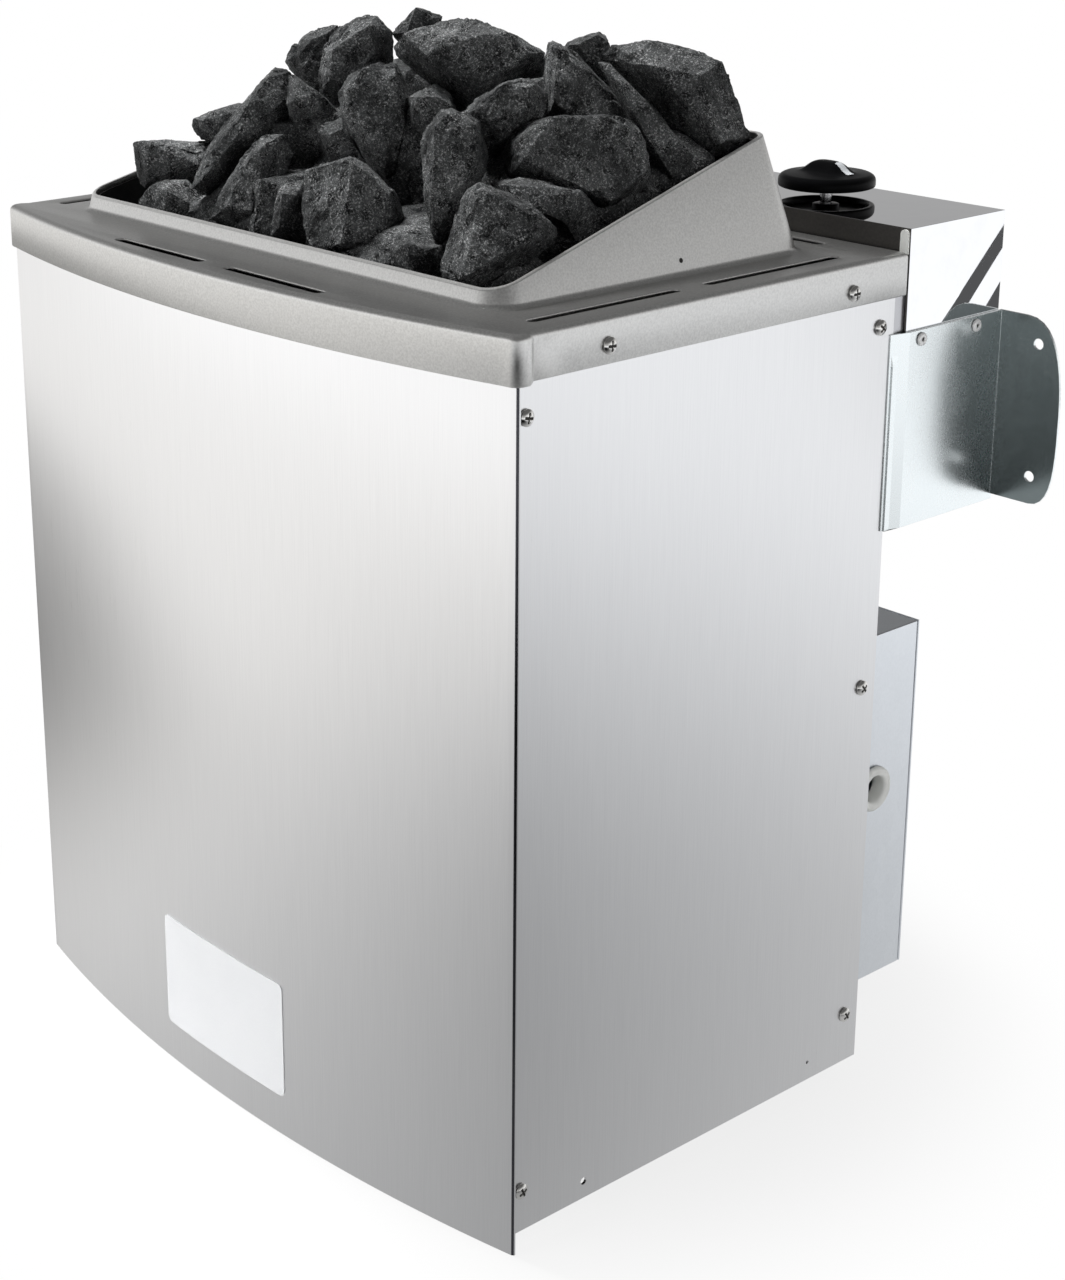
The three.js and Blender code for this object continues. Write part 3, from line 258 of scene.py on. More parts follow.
def mirrorSteel():
    material, tree, shader = startMaterial("mirrorSteel", 1.0)
    cloud = useGroup(tree, "cloud", {"Size": 7.0, "Fine": 90.0})
    tree.links.new(blendColour(tree, rangeOf(tree, cloud["Smudge"], 0.45, 0.7, 0.0, 1.0), mirrorFinish["colour"], mirrorFinish["film"]), shader.inputs["Base Color"])
    tree.links.new(rangeOf(tree, cloud["Smudge"], 0.35, 0.7, *mirrorFinish["rough"]), shader.inputs["Roughness"])
    bumpTo(tree, shader, cloud["Cloud"], mirrorFinish["wave"], 0.004)
    return material


zincFinish = {
    "bright": {"dark": (0.87, 0.92, 0.93), "light": (0.94, 0.98, 0.985), "rough": (0.22, 0.30)},
    # shaded: a darker copy of the bracket's zinc, a painted shade
    "shaded": {"dark": (0.26, 0.30, 0.30), "light": (0.32, 0.36, 0.36), "rough": (0.2, 0.28)},
    "dull": {"dark": (0.78, 0.81, 0.845), "light": (0.87, 0.90, 0.935), "rough": (0.28, 0.38)},
}


def galvanised(name):
    finish = zincFinish[name]
    material, tree, shader = startMaterial(name + "Zinc", 1.0)
    zinc = useGroup(tree, "zinc")
    tone = mathOf(tree, "ADD", mathOf(tree, "MULTIPLY", zinc["Patch"], 0.15), mathOf(tree, "MULTIPLY", zinc["Frost"], 0.85))
    tree.links.new(blendColour(tree, rangeOf(tree, tone, 0.2, 0.75, 0.0, 1.0), finish["dark"], finish["light"]), shader.inputs["Base Color"])
    tree.links.new(rangeOf(tree, tone, 0.2, 0.75, *finish["rough"]), shader.inputs["Roughness"])
    bumpTo(tree, shader, zinc["Frost"], 0.025, 0.0002)
    return material


collarFinish = {"dark": (0.59, 0.587, 0.576), "light": (0.735, 0.732, 0.72), "rough": (0.29, 0.39), "grit": 950.0}
collarMetal = {"collarPaint": 0.93, "rimPaint": 0.72}


def collarPaint(name):
    material, tree, shader = startMaterial(name, collarMetal[name])
    cloud = useGroup(tree, "cloud", {"Size": 5.0, "Fine": collarFinish["grit"]})
    dust = useGroup(tree, "dust", {"Amount": 0.08, "Scale": 70.0})
    flake = rangeOf(tree, cloud["Smudge"], 0.36, 0.64, 0.0, 1.0)
    paint = blendColour(tree, flake, collarFinish["dark"], collarFinish["light"])
    tree.links.new(blendColour(tree, dust["Mask"], paint, (0.66, 0.65, 0.62)), shader.inputs["Base Color"])
    tree.links.new(rangeOf(tree, cloud["Smudge"], 0.36, 0.64, *collarFinish["rough"]), shader.inputs["Roughness"])
    bumpTo(tree, shader, cloud["Smudge"], 0.1, 0.0002)
    return material


rockFinish = {
    "deep": (0.004, 0.0045, 0.005), "body": (0.122, 0.127, 0.128), "speck": (0.92, 0.925, 0.925),
    "rough": (0.55, 0.85), "bump": 1.0, "depth": 0.0022, "grit": 1050.0, "dust": (0.15, 0.15, 0.15),
}


def crushedRock():
    material, tree, shader = startMaterial("crushedRock", 0.0, 0.14)
    rock = useGroup(tree, "rock", {"Grit": rockFinish["grit"]})
    dust = useGroup(tree, "dust", {"Amount": 0.16, "Scale": 55.0})
    body = blendColour(tree, rangeOf(tree, rock["Tone"], 0.3, 0.68, 0.0, 1.0), rockFinish["deep"], rockFinish["body"])
    # painted shade: the low pits of the height take the deep colour
    body = blendColour(tree, rock["PitShade"], body, rockFinish["deep"])
    body = blendColour(tree, mathOf(tree, "MULTIPLY", rock["Speck"], rangeOf(tree, rock["Tone"], 0.38, 0.62, 0.25, 1.0)), body, rockFinish["speck"])
    tree.links.new(blendColour(tree, dust["Mask"], body, rockFinish["dust"]), shader.inputs["Base Color"])
    tree.links.new(rangeOf(tree, rock["Tone"], 0.3, 0.7, *rockFinish["rough"]), shader.inputs["Roughness"])
    bumpTo(tree, shader, rock["Height"], rockFinish["bump"], rockFinish["depth"])
    return material


# plain finishes: two tones, a roughness span and a fine grain each
plainFinish = {
    "blackSteel": {"dark": (0.012, 0.012, 0.013), "light": (0.035, 0.034, 0.034), "rough": (0.4, 0.6), "metal": 0.4, "fine": 500.0, "bump": 0.08},
    "elementSteel": {"dark": (0.16, 0.13, 0.11), "light": (0.30, 0.27, 0.25), "rough": (0.35, 0.55), "metal": 1.0, "fine": 260.0, "bump": 0.06},
    "shaftSteel": {"dark": (0.60, 0.60, 0.61), "light": (0.75, 0.75, 0.76), "rough": (0.14, 0.26), "metal": 1.0, "fine": 900.0, "bump": 0.03},
    "fastenerNickel": {"dark": (0.66, 0.65, 0.63), "light": (0.82, 0.81, 0.79), "rough": (0.06, 0.14), "metal": 1.0, "fine": 700.0, "bump": 0.04},
    # painted shade for the inward faces of the panels
    "innerPaintedShade": {"dark": (0.010, 0.010, 0.010), "light": (0.028, 0.027, 0.026), "rough": (0.6, 0.8), "metal": 0.0, "fine": 300.0, "bump": 0.05},
    # painted reflection: dark steel on the bends that face the dark side of the room
    "paintedBendReflection": {"dark": (0.06, 0.06, 0.07), "light": (0.09, 0.09, 0.10), "rough": (0.2, 0.3), "metal": 1.0, "fine": 900.0, "bump": 0.02},
    # painted reflection: dark rough steel on the cover's lip
    "paintedLipReflection": {"dark": (0.13, 0.125, 0.12), "light": (0.19, 0.18, 0.17), "rough": (0.3, 0.42), "metal": 0.9, "fine": 700.0, "bump": 0.03},
    "rivetWhite": {"dark": (0.80, 0.80, 0.80), "light": (0.90, 0.90, 0.90), "rough": (0.3, 0.4), "metal": 0.25, "fine": 900.0, "bump": 0.03},
    # painted shade: a near black laid in holes and recesses
    "paintedRecessShade": {"dark": (0.01, 0.01, 0.01), "light": (0.03, 0.026, 0.022), "rough": (0.5, 0.7), "metal": 0.3, "fine": 900.0, "bump": 0.1},
    "blackPlastic": {"dark": (0.002, 0.002, 0.0022), "light": (0.004, 0.004, 0.0045), "rough": (0.30, 0.40), "metal": 0.0, "fine": 1400.0, "bump": 0.05, "shine": 0.06},
    "unitPlastic": {"dark": (0.03, 0.03, 0.032), "light": (0.06, 0.06, 0.062), "rough": (0.42, 0.56), "metal": 0.0, "fine": 800.0, "bump": 0.07},
    "creamPlastic": {"dark": (0.92, 0.93, 0.90), "light": (0.97, 0.98, 0.95), "rough": (0.34, 0.5), "metal": 0.0, "fine": 600.0, "bump": 0.05},
    "tabPlastic": {"dark": (0.80, 0.81, 0.78), "light": (0.88, 0.89, 0.86), "rough": (0.34, 0.5), "metal": 0.0, "fine": 600.0, "bump": 0.05},
    "steatite": {"dark": (0.66, 0.63, 0.57), "light": (0.78, 0.75, 0.69), "rough": (0.4, 0.6), "metal": 0.0, "fine": 500.0, "bump": 0.08},
    "labelPaper": {"dark": (0.88, 0.89, 0.91), "light": (0.92, 0.93, 0.945), "rough": (0.3, 0.42), "metal": 0.0, "fine": 1200.0, "bump": 0.03},
    "pointerWhite": {"dark": (0.50, 0.52, 0.54), "light": (0.58, 0.60, 0.62), "rough": (0.25, 0.4), "metal": 0.0, "fine": 900.0, "bump": 0.03},
}


def plainMaterial(name):
    finish = plainFinish[name]
    material, tree, shader = startMaterial(name, finish["metal"], finish.get("shine", 0.5))
    cloud = useGroup(tree, "cloud", {"Size": 22.0, "Fine": finish["fine"]})
    tone = mathOf(tree, "ADD", mathOf(tree, "MULTIPLY", cloud["Cloud"], 0.5), mathOf(tree, "MULTIPLY", cloud["Smudge"], 0.5))
    spread = rangeOf(tree, tone, 0.35, 0.65, 0.0, 1.0)
    tree.links.new(blendColour(tree, spread, finish["dark"], finish["light"]), shader.inputs["Base Color"])
    tree.links.new(rangeOf(tree, tone, 0.35, 0.65, *finish["rough"]), shader.inputs["Roughness"])
    bumpTo(tree, shader, cloud["Smudge"], finish["bump"], 0.0002)
    return material


finishes = {name: plainMaterial(name) for name in plainFinish}
finishes.update({name: collarPaint(name) for name in collarMetal})
finishes.update({
    "panelSteel": brushedSteel("panel"), "satinSteel": brushedSteel("satin"), "mirrorSteel": mirrorSteel(),
    "brightZinc": galvanised("bright"), "shadedZinc": galvanised("shaded"), "dullZinc": galvanised("dull"), "rock": crushedRock(),
})
print("finishes:", len(finishes))


# mesh building
def finishPiece(name, mesh, finish, slotName, nodes=(), body="heater", smooth=35):
    piece = bpy.data.objects.new(name, mesh)
    scene.collection.objects.link(piece)
    mesh.materials.clear()
    mesh.materials.append(finishes[finish])
    if smooth:
        mesh.shade_smooth()
        mesh.set_sharp_from_angle(angle=math.radians(smooth))
    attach(piece, body)
    if nodes:
        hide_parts(*nodes)
    return piece


def pieceFrom(name, bm, *args, **kwargs):
    mesh = bpy.data.meshes.new(name)
    bmesh.ops.recalc_face_normals(bm, faces=bm.faces)
    bm.to_mesh(mesh)
    bm.free()
    return finishPiece(name, mesh, *args, **kwargs)


def skinRings(bm, rings, around=True):
    # rings may hold points or corners that are already in the mesh
    rows = [[p if isinstance(p, bmesh.types.BMVert) else bm.verts.new(p) for p in ring] for ring in rings]
    count = len(rows[0])
    for lower, upper in zip(rows, rows[1:]):
        for k in range(count if around else count - 1):
            n = (k + 1) % count
            bm.faces.new((lower[k], lower[n], upper[n], upper[k]))
    return rows


def lathe(bm, profile, steps, turn):
    # profile of radius and height pairs about an axis, put in place by turn
    rings = []
    for radius, height in profile:
        angles = [2 * math.pi * k / steps for k in range(steps)]
        rings.append([turn @ Vector((radius * math.cos(a), radius * math.sin(a), height)) for a in angles])
    return skinRings(bm, rings)


def paintInnerShade(piece, facesInward):
    # the side of a panel that nobody sees gets a painted shade: the dull dark of the enclosed inside
    piece.data.materials.append(finishes["innerPaintedShade"])
    for face in piece.data.polygons:
        if facesInward(face):
            face.material_index = 1


def bakedMesh(name, piece):
    piece.update_tag()
    bpy.context.view_layer.update()
    mesh = bpy.data.meshes.new_from_object(piece.evaluated_get(bpy.context.evaluated_depsgraph_get()))
    mesh.name = name
    return mesh


def foldedCopy(node, finish, slotName, fold=0.0006, body="heater", smooth=40, segments=3):
    # a node's own sheet with its flat faces whole again and its folds rounded
    bm = bmesh.new()
    bm.from_mesh(cadNodes[node].data)
    bmesh.ops.remove_doubles(bm, verts=bm.verts, dist=1e-6)
    bmesh.ops.dissolve_limit(bm, angle_limit=math.radians(1), verts=bm.verts, edges=bm.edges)
    if fold:
        sharp = [e for e in bm.edges if len(e.link_faces) == 2 and e.calc_face_angle(0) > math.radians(50)]
        bmesh.ops.bevel(bm, geom=sharp, offset=fold, segments=segments, profile=0.5, affect="EDGES", clamp_overlap=True)
    piece = pieceFrom(node + "_sheet", bm, finish, slotName, (node,), body, smooth)
    flat = piece.modifiers.new("flatFaces", "WEIGHTED_NORMAL")
    flat.weight, flat.keep_sharp = 100, True
    return piece


# front panel: a sheet bowed across, its upright edges rolled back, with a return along each side
frontShape = {"half": 205, "bow": 22, "sheet": 1.5, "height": 450.7, "sideBottom": 9.5, "returnDepth": 20,
              "returnOuter": 200.7, "edge": 0.35, "roll": 1.35, "rollSteps": 7, "steps": 90}
bowRadius = (frontShape["half"] ** 2 + frontShape["bow"] ** 2) / (2 * frontShape["bow"])
bowCentre = bowRadius - frontShape["bow"]


def bowY(x, grow=0.0):
    return bowCentre - math.sqrt((bowRadius + grow) ** 2 - x ** 2)


def makeFrontPanel():
    s = frontShape
    bm = bmesh.new()
    flat = s["half"] - s["roll"]
    columns = [(flat * (2 * k / s["steps"] - 1), 0.0) for k in range(s["steps"] + 1)]
    for k in range(1, s["rollSteps"] + 1):
        a = math.pi / 2 * k / s["rollSteps"]
        x, back = flat + s["roll"] * math.sin(a), s["roll"] * (1 - math.cos(a))
        columns = [(-x, back)] + columns + [(x, back)]
    e, t, top = s["edge"], s["sheet"], s["height"]
    section = [(0, e), (0, top - e), (-e * 0.3, top - e * 0.3), (-e, top), (e - t, top), (e * 0.3 - t, top - e * 0.3),
               (-t, top - e), (-t, e), (e * 0.3 - t, e * 0.3), (e - t, 0), (-e, 0), (-e * 0.3, e * 0.3)]
    rings = [[place(x, bowY(x, max(g - back * (1 + g / t), -t)), z) for g, z in section] for x, back in columns]
    rows = skinRings(bm, rings)
    for row in (rows[0], rows[-1]):
        bm.faces.new(row)
    for side in (-1, 1):
        outer, inner = side * s["returnOuter"], side * (s["returnOuter"] - t)
        front = bowY(inner) + t
        ring = [(outer, front), (outer, s["returnDepth"]), (inner, s["returnDepth"]), (inner, front)]
        rows = skinRings(bm, [[place(x, y, z) for x, y in ring] for z in (s["sideBottom"], top)])
        for row in rows:
            bm.faces.new(row)
    panel = pieceFrom("frontSheet", bm, "panelSteel", "stainless", ("front_panel",))
    paintInnerShade(panel, lambda face: face.normal.y > 0.5)
    # painted reflection: the tight bends at the upright edges get a dark steel for the dark side of the room that they
    # show
    panel.data.materials.append(finishes["paintedBendReflection"])
    for face in panel.data.polygons:
        if 0.36 < abs(face.normal.x) < 0.95 and face.normal.y < -0.3 and abs(face.center.x) > flat * drawing["unit"]:
            face.material_index = 2


makeFrontPanel()
sideLap = 0.0032
for node, side in (("side_panel_right", 1), ("side_panel_left", -1)):
    panel = foldedCopy(node, "panelSteel", "stainless", fold=0.0003, segments=2)
    paintInnerShade(panel, lambda face: face.normal.x * side < -0.5)
    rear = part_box(node)[1][1]
    for vertex in panel.data.vertices:  # the rear edge laps a little over the box behind
        vertex.co.y += sideLap if vertex.co.y > rear - 0.001 else 0
paintInnerShade(foldedCopy("rear_panel", "dullZinc", "galvanised_steel", fold=0.0004, segments=2), lambda face: face.normal.y < -0.5)
print("body panels done")


# collar: bowed fascia, slotted plate and the sloping stone guard, pressed from one sheet
collarShape = {
    "top": 453, "wall": 2, "lip": 22, "fasciaDrop": 1, "fasciaGap": 0.5, "fasciaReach": 2, "fasciaReturn": 5.5, "corner": 6,
    "sides": 204.8, "rear": 259, "edge": 3.2, "edgeSteps": 7, "rearLip": 3,
    "guardHalf": 170, "guardFront": 19, "guardRear": 226, "guardCorner": 16, "lean": 0.276, "fillet": 2.6, "filletSteps": 6,
    "rimFront": 8, "rimRear": 62, "guardWall": 2, "insideDepth": 12, "rimFacing": 0.5,
    "slotWidth": 6, "slotEdge": 0.7, "slotDepth": 1.05,
}


def collarPlan(inset):
    # points round the collar, front arc first, then right, rear and left
    s = collarShape
    radius = bowRadius + s["wall"] + s["fasciaGap"] - inset
    ends = frontShape["half"] + s["fasciaReach"] - inset
    sides, rear = s["sides"] - inset, s["rear"] - inset
    corner = max(s["corner"] - inset, 1.2)
    reach = ends - corner
    arc = [(x, bowCentre - math.sqrt(radius ** 2 - x ** 2)) for x in (reach * (2 * k / 72 - 1) for k in range(73))]
    cornerY = arc[-1][1]
    step = s["fasciaReturn"] - inset * 0.4
    bend = []
    for k in range(1, 9):
        u = k / 8
        bend.append(((1 - u) ** 2 * reach + 2 * u * (1 - u) * ends + u * u * ends,
                     (1 - u) ** 2 * cornerY + 2 * u * (1 - u) * cornerY + u * u * (cornerY + corner)))
    jog = [(ends, step), (sides + (ends - sides) * 0.5, step + 1.8), (sides, step + 3.6)]
    rightSide = bend + jog + [(sides, step + 3.6 + (rear - step - 3.6) * k / 12) for k in range(1, 13)]
    back = [((sides - 0.4) * (1 - 2 * k / 24), rear) for k in range(25)]
    leftSide = [(-x, y) for x, y in reversed(rightSide)]
    return arc + rightSide + back + leftSide


def lipBottomAt(x, y):
    s = collarShape
    if y > s["rear"] - 0.1 and abs(x) < s["sides"] - 0.1:
        return s["top"] - s["rearLip"]
    return s["top"] - s["lip"] - (s["fasciaDrop"] if y < s["fasciaReturn"] + 2 else 0)


def guardPlan(inset, steps=10):
    s = collarShape
    half, front, rear = s["guardHalf"] - inset, s["guardFront"] + inset, s["guardRear"] - inset
    radius = max(s["guardCorner"] - max(inset, 0), 6)
    centres = [(half - radius, rear - radius), (radius - half, rear - radius), (radius - half, front + radius), (half - radius, front + radius)]
    ring = []
    for index, (x, y) in enumerate(centres):
        for k in range(steps + 1):
            a = (index + k / steps) * math.pi / 2
            ring.append((x + radius * math.cos(a), y + radius * math.sin(a)))
        ahead = centres[(index + 1) % 4]
        a = (index + 1) * math.pi / 2
        for k in range(1, 12):
            u = k / 12
            ring.append((x + (ahead[0] - x) * u + radius * math.cos(a), y + (ahead[1] - y) * u + radius * math.sin(a)))
    return ring


def leanedRing(inset, heightOf):
    # each point rises along the leaning wall to the height asked for at its place
    s = collarShape
    count = len(guardPlan(0))
    heights = [s["top"]] * count
    for _ in range(6):
        drawn = [guardPlan(inset + s["lean"] * (h - s["top"]))[k] for k, h in enumerate(heights)]
        heights = [heightOf(y) for _, y in drawn]
    return [place(x, y, h) for (x, y), h in zip(drawn, heights)]


def rimAt(y, drop=0.0):
    s = collarShape
    slope = (s["rimRear"] - s["rimFront"]) / (s["guardRear"] - s["guardFront"])
    return s["top"] + s["rimFront"] - drop + slope * (y - s["guardFront"])


def slotRing(length, width, x, y, z, lengthwise):
    ring = []
    run = (length - width) / 2
    for end in (1, -1):
        for k in range(9):
            a = math.pi * (k / 8 - 0.5) + (0 if end > 0 else math.pi)
            u, v = end * run + width / 2 * math.cos(a), width / 2 * math.sin(a)
            ring.append(place(x - v, y + u, z) if lengthwise else place(x + u, y + v, z))
    return ring


# slots in the plate: middle, length, and whether it runs front to back
collarSlots = [(side * 47, -11, 75, False) for side in (-1, 1)]
collarSlots += [(side * 188.8, 122.5 + way * 55.5, 94, True) for side in (-1, 1) for way in (-1, 1)]
collarSlots += [(side * 117.5, 243, 94, False) for side in (-1, 1)]


def makeCollar():
    s = collarShape
    bm = bmesh.new()
    top, edge = s["top"], s["edge"]
    profile = [(s["wall"], None, 0.0), (0.5, None, 0.0), (0.0, None, 0.6), (0.0, top - edge, 0.0)]
    for k in range(1, s["edgeSteps"] + 1):
        a = math.pi / 2 * k / s["edgeSteps"]
        profile.append((edge * (1 - math.cos(a)), top - edge * (1 - math.sin(a)), 0.0))
    rings = []
    outer = collarPlan(0)
    for inset, z, lift in profile:
        ring = []
        for k, (x, y) in enumerate(collarPlan(inset)):
            bottom = lipBottomAt(*outer[k])
            ring.append(place(x, y, max(bottom, z) + lift if z is not None else bottom + lift))
        rings.append(ring)
    rows = skinRings(bm, rings)
    loops = [rows[-1]]
    guardRings = []
    for k in range(s["filletSteps"] + 1):
        a = math.pi / 2 * k / s["filletSteps"]
        z = top + s["fillet"] * (1 - math.cos(a))
        inset = s["lean"] * (z - top) - s["fillet"] * (1 - math.sin(a))
        guardRings.append([place(x, y, z) for x, y in guardPlan(inset)])
    wall = s["guardWall"]
    guardRings.append(leanedRing(0, lambda y: rimAt(y, wall / 2)))
    for k in range(1, 8):
        a = math.pi * k / 8
        guardRings.append(leanedRing(wall / 2 * (1 - math.cos(a)), lambda y: rimAt(y, wall / 2 * (1 - math.sin(a)))))
    guardRings.append(leanedRing(wall, lambda y: rimAt(y, wall / 2)))
    guardRings.append([place(x, y, top) for x, y in guardPlan(wall)])
    guardRings.append([place(x, y, top - s["insideDepth"]) for x, y in guardPlan(wall)])
    loops.append(skinRings(bm, guardRings)[0])
    for x, y, length, lengthwise in collarSlots:
        rounds = []
        for k in range(5):
            a = math.pi / 2 * k / 4
            wide = s["slotWidth"] + 2 * s["slotEdge"] * (1 - math.sin(a))
            rounds.append((wide, top - s["slotEdge"] * (1 - math.cos(a))))
        rounds.append((s["slotWidth"], top - s["slotDepth"]))
        rows = skinRings(bm, [slotRing(length + wide - s["slotWidth"], wide, x, y, z, lengthwise) for wide, z in rounds])
        loops.append(rows[0])
    flat = [v for loop in loops for v in loop]
    for a, b, c in tessellate_polygon([[v.co for v in loop] for loop in loops]):
        bm.faces.new((flat[a], flat[b], flat[c]))
    bmesh.ops.dissolve_degenerate(bm, dist=1e-6, edges=bm.edges)
    shell = pieceFrom("collarShell", bm, "collarPaint", "collar_paint", ("top_collar",), smooth=50)
    shell.data.materials.append(finishes["rimPaint"])
    for face in shell.data.polygons:  # the guard's rolled rim, where it faces up, gets a less metallic paint that renders paler
        if face.normal.z > s["rimFacing"] and face.center.z > place(0, 0, top + s["rimFront"] - s["guardWall"]).z:
            face.material_index = 1


guardVent = {"y": 137, "z": 460, "radius": 1.2, "proud": 0.06}


def makeGuardVents():
    # the small hole in each side of the guard: no hole is cut, a dark disc on the wall paints the shade in its mouth
    s, unit = guardVent, drawing["unit"]
    lean = math.atan(collarShape["lean"])
    for side, word in ((1, "right"), (-1, "left")):
        x = collarShape["guardHalf"] - collarShape["lean"] * (s["z"] - collarShape["top"]) + s["proud"]
        turn = Matrix.Translation(place(side * x, s["y"], s["z"])) @ Matrix.Rotation(side * (math.pi / 2 - lean), 4, "Y")
        bm = bmesh.new()
        rows = lathe(bm, [(s["radius"] * unit, -0.4 * unit), (s["radius"] * unit, 0)], 20, turn)
        for row in rows:
            bm.faces.new(row)
        pieceFrom("guard_vent_" + word, bm, "paintedRecessShade", "collar_paint")


makeCollar()
makeGuardVents()
print("collar done")


# control box
foldedCopy("control_tray", "satinSteel", "control_housing", fold=0.0005)
cover = foldedCopy("control_cover", "mirrorSteel", "polished_steel", fold=0.0007)
cover.data.materials.append(finishes["paintedLipReflection"])
for face in cover.data.polygons:  # painted reflection: the lip behind the collar gets a dark rough steel for the collar's dark plate that it sees
    if face.normal.y < -0.9:
        face.material_index = 1
coverTab = {"x": (198.0, 203.2), "y": (260.7, 261.4), "z": (451.0, 463.0), "round": 2.5}


def makeCoverTabs():
    s = coverTab
    for side, word in ((1, "right"), (-1, "left")):
        bm = bmesh.new()
        x0, x1 = s["x"]
        z0, z1 = s["z"]
        outline = [(x0, z0), (x1, z0)]
        for start, centre in ((0, x1 - s["round"]), (1, x0 + s["round"])):
            for k in range(7):
                a = math.pi / 2 * (start + k / 6)
                outline.append((centre + s["round"] * math.cos(a), z1 - s["round"] + s["round"] * math.sin(a)))
        rows = skinRings(bm, [[place(side * x, y, z) for x, z in outline] for y in s["y"]])
        for row in rows:
            bm.faces.new(row)
        bmesh.ops.bevel(bm, geom=[e for e in bm.edges if e.calc_face_angle(0) > 1.2], offset=0.0003, segments=2, profile=0.5, affect="EDGES")
        pieceFrom("cover_tab_" + word, bm, "tabPlastic", "cream_plastic")


makeCoverTabs()

# knobs: a low domed skirt with a ridge across it and a pale pointer on one end
knobShape = {
    "x": 114, "y": 303.8, "bottom": 468.5, "radius": 25.5, "edge": 3.4, "skirt": 6.6, "dome": 8.0, "steps": 120,
    "ridgeHalf": 15, "ridgeWide": 6.4, "ridgeTop": 13.5, "pointer": 2.3, "rings": 40,
}
# under the knob: a rim, a hollow and a hub with the shaft's bore, from the edge inward
knobUnderside = [(25.5, 1.0), (25.2, 0.3), (24.5, 0), (23, 0), (22.6, 0.4), (22.4, 3.6), (7.4, 3.6), (7, 3.2), (7, 0.4), (6.6, 0),
                 (3.5, 0), (3.3, 0.4), (3.3, 8)]


# the pointer's section: share of its half width, and lift off the knob
pointerEdge = ((-1, -0.3), (-1, 0.3), (-0.4, 0.34), (0.4, 0.34), (1, 0.3), (1, -0.3))


def knobHeight(u, v):
    # the knob's upper face: dome plus a smooth ridge along u
    s = knobShape
    out = math.hypot(u, v)
    past = min(1.0, max(0.0, (out - s["radius"] + s["edge"]) / s["edge"]))
    rim = s["skirt"] - s["edge"] * (1 - math.sqrt(1 - past ** 2))
    base = rim + (s["dome"] - s["skirt"]) * max(0.0, 1 - (1.08 * out / s["radius"]) ** 2)
    along = 1 / (1 + math.exp((abs(u) - s["ridgeHalf"] * 0.72) / 1.6))
    across = 1 / (1 + math.exp((abs(v) - s["ridgeWide"]) / 1.3))
    return base + (s["ridgeTop"] - s["dome"]) * along * across * (1 - 0.12 * (u / s["ridgeHalf"]) ** 2)


def makeKnob(side, node, body):
    s = knobShape
    bm = bmesh.new()
    centre = place(side * s["x"], s["y"], s["bottom"])

    def at(u, v, h):
        return centre + Vector((u, v, h)) * drawing["unit"]

    steps = s["steps"]
    angles = [2 * math.pi * k / steps for k in range(steps)]
    flat = s["radius"] - s["edge"]
    radii = [flat * k / s["rings"] for k in range(1, s["rings"] + 1)]
    radii += [flat + s["edge"] * math.sin(math.pi / 2 * k / 8) for k in range(1, 9)]
    rings = [[at(r * math.cos(a), r * math.sin(a), knobHeight(r * math.cos(a), r * math.sin(a))) for a in angles] for r in radii]
    rings += [[at(r * math.cos(a), r * math.sin(a), h) for a in angles] for r, h in knobUnderside]
    rows = skinRings(bm, rings)
    tip = bm.verts.new(at(0, 0, knobHeight(0, 0)))
    for k in range(steps):
        bm.faces.new((rows[0][k], rows[0][(k + 1) % steps], tip))
    bm.faces.new(rows[-1])
    pieceFrom(node + "_cap", bm, "blackPlastic", "black_plastic", (node,), body, smooth=60)
    bm = bmesh.new()
    grid = []
    for k in range(15):
        u = s["ridgeHalf"] * (0.46 + 0.62 * k / 14)
        grid.append([at(u, v * s["pointer"], knobHeight(u, v * s["pointer"]) + lift) for v, lift in pointerEdge])
    skinRings(bm, grid, around=False)
    pieceFrom(node + "_pointer", bm, "pointerWhite", "black_plastic", (), body, smooth=50)


makeKnob(1, "thermostat_knob", "thermostat_dial")
makeKnob(-1, "timer_knob", "timer_dial")
for unit, dial in (("thermostat", "thermostat_dial"), ("timer", "timer_dial")):
    foldedCopy(unit + "_shaft", "shaftSteel", "shaft_steel", fold=0.0003, body=dial, segments=2)
    foldedCopy(unit, "unitPlastic", "black_plastic", fold=0.0012)
print("controls done")


# brackets, connection box and what is in it
webTuck = {"run": 0.012, "outer": 0.0026, "inner": 0.0014}


def tuckWeb(bracket, front):
    # the front of the web bends in to lie against the side panel's edge
    bm = bmesh.new()
    bm.from_mesh(bracket.data)
    everything = bm.verts[:] + bm.edges[:] + bm.faces[:]
    cut = bmesh.ops.bisect_plane(bm, geom=everything, plane_co=(0, front + webTuck["run"], 0), plane_no=(0, 1, 0))
    for part in cut["geom_cut"]:
        if isinstance(part, bmesh.types.BMEdge):
            part.smooth = False
    edge = [v for v in bm.verts if v.co.y < front + 0.001]
    middle = (max(abs(v.co.x) for v in edge) + min(abs(v.co.x) for v in edge)) / 2
    for vertex in edge:
        vertex.co.x -= math.copysign(webTuck["outer" if abs(vertex.co.x) > middle else "inner"], vertex.co.x)
    bm.to_mesh(bracket.data)
    bm.free()


for word in ("right", "left"):
    bracket = foldedCopy("bracket_" + word, "brightZinc", "galvanised_steel", fold=0.0006)
    bracket.data.materials.append(finishes["shadedZinc"])
    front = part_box("bracket_" + word)[0][1]
    middle = sum(corner[1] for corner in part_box("bracket_" + word)) / 2
    for face in bracket.data.polygons:  # painted shade: the wall plate gets a darker copy of the zinc, for the dark side of the room it faces
        if face.normal.y < -0.9 and face.center.y > middle:
            face.material_index = 1
    tuckWeb(bracket, front)
foldedCopy("junction_box", "dullZinc", "galvanised_steel", fold=0.0007)
foldedCopy("junction_cover", "dullZinc", "galvanised_steel", fold=0.0005)
foldedCopy("terminal_block", "steatite", "steatite", fold=0.0012)
